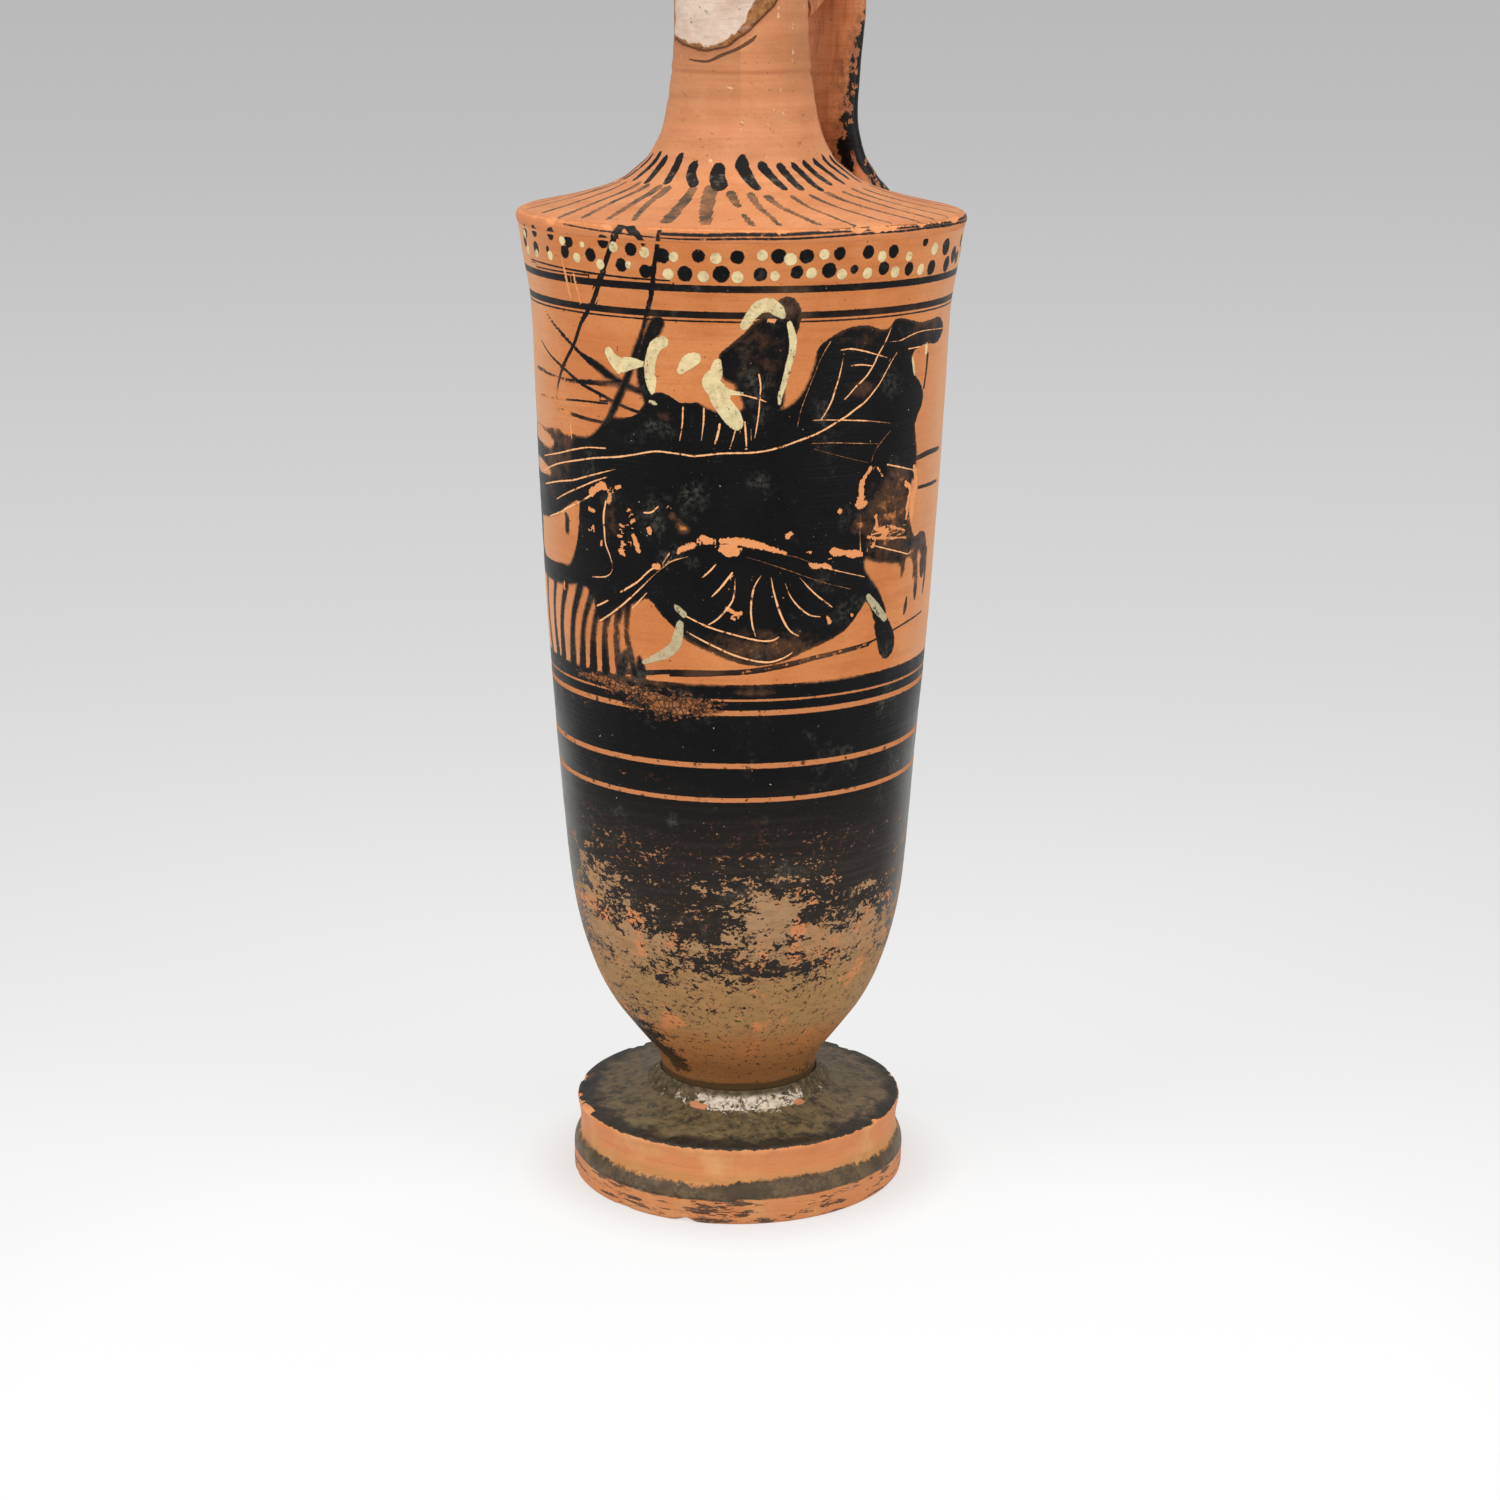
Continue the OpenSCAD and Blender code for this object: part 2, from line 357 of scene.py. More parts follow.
BODY_MASSES = [
    # the animal's trunk, from its rump on the left to its chest on the right
    [(-97, 131.5), (-96, 138), (-92, 142.8), (-85, 145.4), (-78, 146), (-70, 146), (-60, 146.6),
     (-48, 146.3), (-42.5, 147.8), (-38.5, 150.4), (-33, 150.7), (-28.5, 151.6), (-25.5, 154.3),
     (-22.5, 155.6), (-19, 155.2), (-16, 154.1), (-11, 154.2), (-9, 153.4), (-4, 152.6), (4, 153),
     (11.5, 153.4), (15, 155), (17.3, 157.2), (19, 160), (20.5, 163.6), (22, 164.4), (24.3, 165.4),
     (27.5, 166.4), (31.5, 166.9), (35.5, 166.8), (39.5, 166), (42, 166), (44, 167.2), (46.5, 167.6),
     (50, 167.1), (54.5, 166.4), (58, 166.2), (63, 166.4), (68, 166.3), (72, 164.4), (70, 162.6),
     (66, 161.8), (61, 162.1), (57, 161.9), (53.5, 161.3), (52.5, 160), (53.5, 158.5), (54.5, 157.1),
     (56.5, 156), (58.5, 154.6), (59.5, 153), (59, 151.4), (57.3, 150), (56, 148), (57, 145.5), (58, 143),
     (58, 140.5), (57.5, 138.6), (55.5, 137), (55, 134), (56, 131.5), (57.5, 129.5), (60, 127.5), (64, 128),
     (68, 127), (70, 123), (68, 119), (65.5, 120), (64.5, 124), (62, 123), (60.5, 119), (60, 122.5),
     (57, 124), (53.5, 122.2), (52, 123.2), (49, 123.4), (45, 124), (41, 124.6), (38, 125.3), (38, 123.8),
     (40, 122), (43, 120), (45.5, 117.5), (47.5, 114.5), (43, 113.5), (41, 116), (39, 117.5), (36.8, 116),
     (34.3, 114.2), (30.8, 112.5), (26, 111.2), (20, 109.9), (14, 108.4), (8, 107.6), (2, 107.8),
     (-4.3, 109), (-9.5, 110.3), (-15, 112), (-18.7, 114.3), (-22, 116.2), (-26, 118.8), (-29.5, 118),
     (-34, 116.6), (-38.5, 115), (-42, 113.6), (-44, 113.4), (-45.5, 116), (-47, 118.5), (-52, 119.2),
     (-58, 118.5), (-66, 118), (-75, 118), (-86, 118.4), (-93, 121.4), (-96.4, 126)],
    # the rider's trunk and cloak
    [(-6, 162.4), (-3.5, 163.9), (0, 165.8), (3, 167.8), (5.5, 169.1), (8, 170), (9.5, 172), (12, 172.5),
     (14.3, 171.6), (15.4, 170), (15.3, 167.8), (14.2, 165.4), (13.9, 162.6), (12.9, 159.8), (11.8, 157),
     (11, 153.2), (4, 151.5), (-4, 151.5), (-3.5, 154.5), (-1.5, 157), (-4.6, 158.4), (-5.4, 160.5)],
    # the hoofed foreleg
    [(43.2, 114.5), (47.6, 114), (50.5, 112), (52.2, 110), (52.5, 107.8), (50.5, 106.3), (48, 106.2),
     (45.6, 107.6), (44.2, 110), (42.8, 112.4)],
]
BODY_WINDOWS = [
    # clay left between the animal's hind parts, and slips of clay at the far left
    [(-79, 129), (-69, 129.8), (-61, 131.3), (-51.5, 134.6), (-50.8, 132), (-52, 128), (-54, 125),
     (-57, 122.6), (-62, 122.2), (-68, 121.8), (-79, 122.5)],
    [(-82, 145.8), (-72, 145.5), (-63, 144), (-68, 142.8), (-82, 143.4)],
    [(-82, 139.8), (-74, 139.6), (-67, 138.2), (-74, 137.2), (-82, 137.6)],
    [(-3.6, 156.6), (-1.6, 156.4), (0, 155), (0.6, 153.4), (-0.8, 152.9), (-2.6, 154)],
]
BRUSH_STROKES = [
    # reins and long staves
    [(-30.5, 183.6, .45), (-33, 181, .5), (-37.6, 175, .5), (-42, 170, .48), (-47, 166.2, .42),
     (-50.3, 162.5, .4), (-56, 158, .38), (-59.5, 154, .34), (-60.5, 152, .26)],
    [(-20, 183.2, .4), (-21.7, 177.7, .42), (-23, 173.2, .45), (-24.6, 169.5, .45), (-26.5, 165.6, .55),
     (-28, 163, .8), (-30.8, 158.4, .8), (-33.4, 154.9, .9), (-36.8, 151, .8), (-39.6, 147.5, .6)],
    [(-32.5, 184.1, .3), (-30, 183.9, .6), (-27.8, 183.3, .68), (-25.8, 182.4, .62), (-24.6, 181.2, .45),
     (-24, 179.9, .18)],
    [(-66, 167.3, .14), (-61, 165.4, .28), (-55, 163.4, .38), (-47.5, 160.8, .42), (-41, 159, .9),
     (-36, 157.4, .8), (-31, 156.4, .55), (-26, 155.3, .6), (-20, 154.4, .5), (-12, 152.4, .4)],
    [(-70, 161.4, .12), (-63, 159.4, .2), (-56, 157.8, .28), (-48, 155.7, .34), (-40, 154.2, .34),
     (-33, 152.7, .3), (-26, 151.6, .3)],
    [(-76, 156.3, .3), (-68, 156.2, .3), (-62, 155.9, .22), (-52, 155.8, .3), (-42, 156.2, .5),
     (-34, 156.3, .5), (-29, 155.8, .7), (-24, 154.8, .8)],
    # a tail that swings up behind, past the photo's edge
    [(-94, 140, 1.1), (-97.5, 147, .95), (-96, 154, .85), (-91, 160, .8), (-86, 164.5, .9),
     (-84.5, 168.5, .6)],
    [(-72, 151.6, .24), (-60, 152, .2), (-48, 152.6, .2), (-38, 152.8, .2)],
    [(-62, 150.4, .28), (-54, 150, .34), (-46, 149.6, .34), (-40, 149.4, .3)],
    # a branch end with a blob
    [(-22, 167.4, 1.35), (-22.8, 166.6, 1.45), (-24.8, 164.6, 1.1), (-26.6, 162, .95), (-27, 158.8, .95),
     (-26.4, 156.8, 1.1), (-24, 153.6, 1.4)],
    # a drip into the clay window
    [(-57.6, 131.4, .5), (-57, 130, .62), (-56.8, 129, .4)],
    # short bars beside the chest
    [(58, 141.9, .5), (66, 142.2, .5), (76, 142, .4)],
    [(60, 136.4, .3), (68, 136.2, .36), (76, 136, .3)],
    [(61, 160.2, .4), (60.5, 157, .34), (59.6, 154.4, .3)],
    [(54.5, 125.5, .5), (54.2, 122.2, .8), (54, 121, .5)],
    [(62, 125, .7), (62.6, 121, .8), (63, 117, .7), (62.8, 115.6, .3)],
    [(70, 124, .6), (70, 119, .6), (69.4, 116, .3)],
    [(57.6, 116.4, .3), (57.2, 114.8, .6), (56.6, 113.6, .3)],
    # the ground line, in two strokes of the brush
    [(-36, 104.9, .5), (-27, 105.4, .5), (-19.7, 106, .42), (-12, 106.3, .36), (-4.2, 106.5, .26),
     (4, 106.9, .24), (14.8, 107.9, .24), (22.5, 108.7, .22), (30.7, 109.3, .2), (41, 109.9, .2)],
    [(-19.7, 105.4, .3), (-12, 105.7, .34), (-4.2, 106, .26), (4, 106.3, .22), (14.8, 107.3, .22),
     (22.5, 108.2, .2), (30.7, 108.8, .18), (41, 109.4, .18)],
    [(41, 109.9, .2), (52, 111.2, .2), (60, 111.9, .2), (70, 112.4, .16)],
    # hooves beside the cream stroke
    [(-34.4, 108.8, .8), (-35.2, 107, 1.2), (-35.6, 105.4, 1.2)],
    [(-29.6, 108, .5), (-29.2, 106.4, 1.0), (-28.8, 105, .9)],
    # a thin stroke of slip under the dots, on the left
    [(-70, 175.8, .14), (-58, 175.6, .16), (-44, 175.3, .2), (-30, 175, .18), (-18, 174.9, .14)],
]
# A run of slip over the clay window.
DRIPS = [[(-57, 131, .7), (-57.4, 128.6, .8)]]
# Lines that run right round: height, half width. Bare ones are left out of the black zone.
PAINTED_RINGS = [(173.7, .62), (169.3, .5), (168.1, .16)]
BARE_RINGS = [(98.85, .82), (88.95, .82)]
BARE_RINGS_ACROSS = [(101.2, .34), (82.5, .72)]
# The hatched strokes of the hind legs: angle at the top, angle at the lower end, half width.
HIND_LEGS = [
    (-76, -76, .9), (-67, -69, .9), (-59, -64.5, 1.05), (-51.6, -58, 1.15), (-45.6, -52.8, 1.0),
    (-41.4, -47.6, 1.0), (-37.6, -42.2, .95), (-34.6, -36.4, 1.0), (-32.4, -31, .8),
]
CREAM = [
    # the rider's face, hand and arm, without any drawn features
    [(-6.1, 161.2, .7), (-6.5, 159.4, 1.2), (-7.6, 157.8, 1.7), (-6, 156.2, 1.7), (-5.4, 154.8, 1.6),
     (-3.9, 153.4, 1.6), (-2.2, 151.9, 1.6), (-1, 150.8, 1.3)],
    [(-4.5, 156.4, .8), (-2.2, 156, .5), (0.6, 155.8, .3)],
    # garlands and branch ends
    [(-20.6, 164.3, 1.05), (-22.6, 163.6, 1.15), (-24, 161.6, 1.05), (-24.5, 159.4, 1.05),
     (-24.1, 157.2, 1.0), (-23.8, 155.6, .5)],
    [(-37.2, 161.8, .9), (-35.6, 160.6, 1.1), (-33.6, 159.8, 1.35), (-30, 160.2, 1.1), (-26.8, 160.3, .5)],
    [(-34, 158.6, .5), (-33.2, 159.4, .9)],
    [(-11.9, 161.7, 1.1), (-13.8, 161.1, 1.25), (-15.9, 159.5, .7)],
    [(0.8, 167.5, .8), (2.7, 169.4, 1.0), (4.6, 170.7, 1.2), (7.2, 171, 1.2), (9.3, 170.1, 1.1),
     (10.6, 169.2, .6)],
    [(12.4, 167.8, .5), (13.4, 165.4, .72), (13.4, 163.2, .66), (12.5, 160.7, .58), (11.5, 157.9, .52),
     (10.5, 155.7, .45), (10.2, 154.1, .3)],
    [(60, 161.9, .5), (59.9, 160.6, .5)],
    [(53, 160.2, .3), (53.6, 158.5, .35), (54.3, 157.2, .3)],
    [(-18, 118.2, .3), (-17.2, 117.6, .55), (-15.4, 116.6, .6)],
    [(-16.6, 114.8, .7), (-17.2, 112.8, .95), (-18.2, 110.8, 1.0), (-21, 109.3, .95), (-24.6, 108.2, .7),
     (-28.2, 107.2, .4)],
    [(39.8, 118.4, .6), (43.4, 116, .85), (47, 113.8, .7)],
    [(-24.4, 153.9, .35), (-22.8, 153.6, .35)],
]
# Lines that were cut through the slip. Those that cross or nearly touch them are in the second list.
INCISED = [
    # the long back line and the chest lines
    [(46, 161.6, .16), (44.2, 160.3, .18), (42, 158.4, .2), (40, 156.6, .22), (37.6, 155, .24),
     (35, 153.5, .28), (32, 152.4, .3), (29.2, 151.3, .28), (26.6, 150.5, .28), (23, 149.3, .28),
     (19.7, 148.4, .28), (16.3, 147.7, .28), (10, 146.4, .28), (4, 145.7, .26), (-4.4, 145.5, .26),
     (-12, 144.9, .28), (-16, 145.1, .26), (-23, 145.3, .26), (-29.5, 144.4, .26), (-35.5, 143.6, .28),
     (-43, 142.9, .26), (-49.5, 142, .24), (-58.5, 140.7, .24), (-65, 139.5, .26), (-73, 137.8, .24)],
    [(26.9, 162.9, .22), (30, 163, .24), (34.4, 162.4, .24), (37.6, 161.8, .2), (42.3, 160.9, .12)],
    [(30.4, 160.1, .2), (33.6, 160.1, .22), (37.3, 159.7, .2)],
    [(27.8, 161.7, .12), (27.3, 160, .18), (26.5, 157.8, .22), (25.4, 155.6, .24), (24.8, 154.3, .26),
     (23.1, 152.2, .22), (21.5, 150.9, .16)],
    [(4.7, 159.2, .26), (5.2, 157.3, .24), (5, 154.8, .2), (4.9, 153.1, .2), (4.4, 150.4, .2),
     (3.8, 148.1, .14)],
    [(43, 163.6, .12), (47.2, 163.6, .16), (52, 164.3, .2), (56.8, 164.6, .16), (64, 164.4, .16),
     (76, 163.8, .16)],
    [(-72, 135.5, .24), (-61, 137.1, .26), (-53, 138.1, .26), (-46.3, 139.4, .24), (-40.6, 140.5, .2),
     (-36, 141.4, .12)],
    [(-39.6, 135.4, .34), (-40.6, 132.9, .34), (-40.5, 130, .32), (-40.2, 127.8, .26), (-38.7, 125.7, .2),
     (-37.9, 123.8, .14), (-39, 122.4, .16), (-41.5, 121.7, .2), (-46, 121.3, .16)],
    # the fan of folds on the belly
    [(-7.4, 120.1, .18), (-4.9, 121.8, .3), (-1.8, 124.4, .34)],
    [(6.3, 124, .12), (4.6, 122.3, .22), (3.7, 120, .28), (3.5, 117.4, .28), (4, 114.9, .24),
     (4.9, 113, .16)],
    [(9, 123.5, .14), (9.7, 121.2, .22), (10.9, 118.6, .3), (12.5, 116, .34), (14.7, 113.8, .26),
     (17.3, 112.7, .16)],
    [(13, 122.4, .1), (14.6, 120, .18), (17.3, 117.9, .24), (20.5, 116.4, .24), (23.7, 115.9, .18)],
    [(17, 123.4, .1), (19.7, 121.5, .2), (22.9, 119.6, .24), (27.3, 117.5, .18)],
    [(-1, 123.5, .1), (-1.1, 121.3, .2), (-1.7, 119.4, .26), (-3.5, 117.7, .3), (-5.8, 116.1, .26),
     (-8.3, 115, .18)],
    [(-10.2, 123.4, .1), (-8.1, 124.6, .3), (-6.3, 125.9, .22)],
    # the belly's lower line
    [(-14.5, 113.5, .16), (-10.4, 112.2, .24), (-5.3, 110.7, .28), (-1.2, 109.6, .28), (4, 108.6, .28),
     (8.6, 108.2, .28), (12, 108.6, .26), (14.5, 109.3, .2), (15.8, 109.9, .14)],
    # hatching of the rider's hem
    [(-15.2, 153.3, .24), (-15.5, 150.1, .22), (-16.2, 147.4, .12)],
    [(-9.6, 153.3, .26), (-9.7, 150.8, .24), (-10.3, 147.6, .12)],
    [(-5.4, 150.6, .3), (-5.8, 149, .36), (-6.6, 147.2, .3)],
    [(-1.2, 149.9, .2), (-1.8, 148.2, .18), (-2.6, 146.6, .12)],
    [(1.2, 151, .26), (1.5, 148.6, .24), (1.7, 146.7, .2)],
    # tail and haunch
    [(-35.3, 119.5, .28), (-31.5, 120.9, .3), (-29, 122, .26), (-26, 123.8, .24), (-24.2, 124.6, .3)],
    [(-44.5, 116.2, .3), (-42, 116.9, .28), (-40, 117.6, .2)],
    [(-31.5, 116.8, .24), (-28.8, 118.5, .22), (-26.5, 120, .14)],
    [(41, 127.6, .16), (46, 126.6, .24), (52.5, 125.4, .2), (57, 124.6, .2), (58.6, 125.3, .14)],
    [(44.3, 141.9, .22), (50, 141, .24), (56, 140, .16), (60, 139.5, .1)],
]
INCISED_ACROSS = [
    [(-63, 133.7, .2), (-55.8, 135.6, .22), (-49.5, 137.2, .22), (-44.2, 138.6, .22), (-39, 139.8, .16)],
    [(-72, 140.6, .2), (-60, 142.3, .24), (-53, 143.5, .24), (-46, 144.5, .22), (-39, 144.9, .2)],
    [(24, 164.6, .14), (22.6, 163.2, .14), (20.9, 161.2, .1), (19.8, 159.3, .1), (18.6, 157.4, .1),
     (17.5, 155.5, .1), (16.2, 153.1, .12), (15.2, 150, .1)],
    [(43.4, 166.4, .12), (42, 164.5, .2), (40.6, 163, .24), (39.2, 161.8, .26), (37.3, 159.7, .28),
     (35, 157.9, .26), (32, 156.4, .24), (29.6, 154.9, .24), (28.3, 154.2, .16)],
    [(-3, 156.1, .16), (-.4, 155.8, .24), (2.2, 155.4, .22), (5, 154.9, .26), (6.9, 154.4, .14)],
    [(19.3, 151, .12), (22, 151, .16), (26.6, 150.8, .18), (33.4, 150.4, .2), (38, 150, .14),
     (45, 149.2, .1)],
    [(50.8, 161.9, .2), (56, 161.9, .2), (60, 162.1, .14)],
    [(-69.6, 129.8, .24), (-61, 131.5, .3), (-56.5, 132.8, .34), (-50, 134.5, .3), (-44.6, 136.3, .3)],
    [(-53.4, 148, .2), (-53.2, 146.6, .2), (-53, 145.4, .16)],
    [(-43.6, 113.5, .3), (-39.4, 115.1, .28), (-35.2, 117, .28), (-31.6, 118.9, .26), (-28.3, 120.8, .2),
     (-24.4, 123.2, .12), (-20.3, 125.4, .14), (-18.4, 126.2, .2), (-14, 127.1, .08)],
    [(-21.6, 125.4, .14), (-20.6, 126.4, .14), (-19.5, 127.4, .26)],
    [(-15.6, 116.6, .2), (-11.8, 115.5, .24), (-8.8, 114.7, .26), (-5.3, 114, .24), (-1.2, 113.3, .26),
     (3, 112.6, .26), (7, 112.1, .26), (10, 112.2, .26), (11.7, 112.8, .14)],
    [(1.7, 127.3, .06), (6.8, 126.3, .08), (13.8, 124.7, .1), (19.3, 123.3, .08), (25.2, 121.9, .08),
     (33.4, 120.3, .1)],
    [(12, 127.6, .08), (16, 127, .1), (20.5, 125.8, .06), (26.8, 124.3, .2), (31.5, 123.4, .16),
     (38, 122.2, .16)],
    [(19.2, 147, .08), (26.8, 146.8, .14), (40.3, 145.9, .1)],
    [(20, 146, .06), (27, 144.6, .08), (32.3, 143.6, .06), (38, 142.6, .06)],
    [(45, 148, .08), (41, 145.8, .12), (39, 144.2, .1), (38.2, 142.3, .1)],
    [(35.4, 134.6, .06), (35.4, 131, .08), (36, 127, .2)],
    [(-27, 134.3, .26), (-24.6, 134.5, .26), (-22.6, 135.6, .22)],
    [(-20.2, 135.4, .14), (-19.4, 135.9, .16), (-18.7, 135.4, .12)],
]
CHIPS = [
    # slip lost along the bed of an old joint, and single flakes
    [(-10, 130.5, .5), (-8.9, 130.1, .8), (-7.6, 129.9, .5)],
    [(-4.6, 130, .5), (-1, 130, .7), (3.5, 129.6, .75), (8, 128.8, .5), (12.8, 127.8, .35)],
    [(-4.6, 128.6, .6), (-3, 128.4, 1.2), (-1.4, 128.3, 1.0)],
    [(-16.8, 127.9, .4), (-14.8, 128.7, .55), (-12.4, 129.2, .5)],
    [(-23.8, 124.8, .5), (-23, 124.9, .5)],
    [(38.2, 141.8, .4), (36.4, 140.4, .35), (35.3, 139, .55), (35.3, 137, .6), (34.8, 135.4, .8),
     (36.8, 135.6, .5)],
    [(28.4, 134.8, .4), (28.6, 134.2, .3)],
    [(13.4, 130.8, .5), (14.2, 131.2, .35)],
    [(19.4, 127.8, .3), (20, 127.7, .25)],
    [(27, 127.5, .75), (29, 127.2, .6), (31, 127, .45), (33.5, 126.7, .75), (36.6, 126.4, .4)],
    [(20.6, 125.3, .55), (23, 125.1, .4), (25.4, 125, .4), (26.4, 124.5, .3)],
    [(26.2, 115.6, .3), (26.7, 114.8, .35)],
    [(34, 115.7, .25), (34.3, 115.5, .2)],
    [(-3.2, 118, .35), (-1, 117.3, .3), (0.4, 117.1, .4)],
    [(-1.6, 116.3, .25), (-1, 116, .2)],
    [(-45, 136.6, .8), (-43.4, 137.4, .6), (-41, 138.2, .8), (-39.6, 137.8, .5)],
    [(-38, 136.8, .4), (-38.4, 135.6, .6)],
    [(-35.6, 138.2, .35), (-34.6, 138.4, .3)],
    [(-46.4, 133.6, .35), (-44.4, 133.3, .35)],
    [(-31.4, 134.6, .4), (-32, 134.3, .2)],
    [(-31, 132.4, .3), (-29.6, 132.8, .25)],
    [(-25.4, 131.4, .45), (-25.2, 130.6, .3)],
    [(-30.4, 130, .35), (-29.4, 128.4, .55), (-28.8, 127.2, .3)],
    [(-34.6, 131.6, .25), (-33.6, 131.4, .2)],
    [(-35.4, 129.6, .3), (-34.4, 129.6, .25)],
    [(-34, 128.2, .3), (-33, 128.2, .2)],
    [(-34.8, 127, .5), (-33.8, 126.4, .35)],
    [(-41.8, 128, .35), (-42, 127.4, .25)],
    [(-44.8, 130.6, .25), (-44.6, 129.8, .2)],
    [(-46.6, 129.8, .2), (-46.2, 129.6, .15)],
    [(41, 133, .25), (41.4, 131.6, .3), (40.8, 130.6, .25), (43, 130.4, .4)],
    [(43.4, 130.2, .9), (45.4, 129.6, .8), (44, 129, .4)],
    [(38.6, 129.4, .2), (43, 128.8, .25), (50, 128.2, .2), (55, 127.8, .15)],
    [(40.4, 127.6, .45), (41, 128.2, .2)],
    [(46, 130.8, .2), (52, 129.6, .25), (54, 129.2, .15)],
    [(53, 137.8, .5), (55.4, 136.6, .5), (54.6, 134, .4), (54.4, 131.4, .35)],
    [(57, 140.4, .5), (58.4, 137.6, .6), (57.4, 134, .6), (57.4, 131, .5)],
    [(40.8, 141.5, .25), (41.4, 141, .2)],
    [(42.6, 140, .2), (43.2, 139.8, .15)],
    [(8.4, 168.3, .4), (7, 168.4, .3)],
    [(-61, 117.6, .3), (-60.6, 119, .25)],
    [(-51.6, 177, .2), (-51, 173.6, .35), (-50.5, 170.5, .25)],
    [(-47.6, 174.6, .2), (-46.5, 169.8, .25)],
]
THIN_SLIP = [
    # places where the slip is thin and fired brown: angle, height, reach sideways, reach upwards, strength
    (5, 162, 9, 8, .55), (12, 171, 5, 3.5, .75), (33, 165, 9, 3, .6), (60, 165, 14, 3, .6),
    (6, 111, 22, 3.4, .95), (34, 156, 5, 2.2, .8), (-18.6, 134.2, 1.5, .8, .8), (-17, 133.1, 1.5, .9, 1.1),
    (-15.3, 131.8, 1.9, .9, 1.2), (34.6, 131.6, 2, 1.3, 1.3), (24, 122.6, 2, 1.2, .7), (46, 132, 9, 8, 1.3),
    (62, 122, 9, 7, 1.0), (-55, 149, 3, 5, 1.2), (-38, 132, 5, 5, .6), (-64, 141, 10, 8, .85),
    (-62, 152, 6, 5, .9), (-36, 111, 6, 6, .85), (-20, 151.6, 6, 1.2, .6), (-30, 155, 5, 2, .35),
    (50, 139, 5, 2, .5), (-70, 150, 12, 3, .7), (-47, 111, 6, 5, .35), (4, 102.7, 9, 1.0, .8),
    (-30, 103.4, 14, .7, .9),
]
# Dots of the chequered band: angle, height, radius.
BLACK_DOTS = [
    (-72, 180.6, 1.2), (-64.5, 181.1, 1.15), (-55.5, 181.2, 1.15), (-48, 180.4, 1.2), (-36, 180.9, 1.2),
    (-28, 179.9, 1.2), (-19.5, 179.1, 1.3), (-10.5, 179.3, 1.15), (-1, 179.2, 1.2), (9, 179.4, 1.3),
    (16, 179.3, 1.3), (24.6, 179.6, 1.15), (32.7, 179.6, 1.2), (40.7, 179.4, 1.2), (52.5, 180.5, .85),
    (64, 179, 1.55), (71, 177.2, 1.5), (-74, 178.7, 1.1), (-65, 178.1, 1.2), (-58, 178.4, .6),
    (-50, 178.4, 1.15), (-40.5, 178.4, 1.2), (-31, 177.1, 1.2), (-24.3, 176.3, 1.2), (-14, 176.2, 1.35),
    (-5, 176.3, 1.45), (4.6, 176.3, 1.2), (13.7, 176.6, 1.15), (22, 176.8, 1.35), (29, 176.8, .8),
    (38, 176.6, 1.2), (47, 176.1, 1.2), (57, 175.8, 1.35), (66, 175.8, 1.4),
] + [(79 + 8.8 * i, 179.1 + 0.5 * math.sin(i), 1.2) for i in range(23)] + [
    (75 + 8.8 * i, 176.4 + 0.4 * math.sin(2 * i), 1.2) for i in range(23)]
CREAM_DOTS = [
    (-73, 180, .9), (-50.5, 180.3, .9), (-43, 180, .6), (-33, 180.1, .95), (-24.3, 179.5, 1),
    (-16.7, 179, .9), (-6.2, 178.9, 1), (5, 179.5, 1), (11.9, 178.8, 1.15), (20.5, 179.5, .95),
    (37, 178.7, 1), (46.5, 178.3, .9), (57.5, 179, 1.15), (-72, 177.3, .9), (-65, 177.2, .8),
    (-57, 177.3, .9), (-45.5, 177.6, .95), (-37.5, 176.9, .95), (-29, 177.2, .7), (-18.3, 176, 1),
    (-9.4, 175.8, 1), (-1, 175.8, 1.05), (8.2, 176, .9), (17.4, 176.4, 1), (25.6, 176, .95), (33, 176, 1),
    (42, 175.8, 1.05), (52, 175.7, 1.05),
] + [(83 + 8.8 * i, 178.6 + 0.3 * math.sin(3 * i), .85) for i in range(22)] + [
    (79.5 + 8.8 * i, 175.9 + 0.3 * math.sin(i), .85) for i in range(23)]
# On the shoulder the second number is the distance from the axis, taken as negative.
TONGUES = [
    [(-76, -16.8, .4), (-75.5, -18.7, .4), (-78, -21, .3)],
    [(-64, -16.6, .5), (-63.3, -18.2, .5), (-65, -20.6, .35)],
    [(-54.3, -17, .65), (-53.4, -18.5, .6), (-52.3, -20.8, .4)],
    [(-41.5, -16.6, .55), (-40, -18.4, .55), (-39, -20.4, .5)],
    [(-29, -17.4, .63), (-27.7, -18.9, .57), (-23.5, -20.7, .6)],
    [(-13.3, -17.8, .95), (-12.7, -19.3, 1.05), (-10.6, -20.8, 1.15)],
    [(0.3, -17, .95), (2.9, -18.7, .75), (7.2, -21.3, .45)],
    [(12.4, -17.3, .63), (15.7, -18.9, .5), (20.1, -21.4, .4)],
    [(23.2, -17.4, .55), (25.5, -19.2, .5), (28.3, -21.7, .4)],
    [(32.6, -17.3, .45), (35.4, -19.3, .45), (38.3, -22.2, .35)],
    [(41.5, -17.2, .45), (43.6, -18.8, .4), (47.5, -20.8, .3)],
    [(50.8, -16.9, .4), (53.6, -18.1, .35), (58, -20.8, .3)],
    [(62.5, -16.6, .35), (64, -17.9, .35), (68, -20, .3)],
] + [[(a, -17, .6), (a + 2, -18.8, .5), (a + 4.5, -21.2, .4)] for a in range(74, 280, 11)]
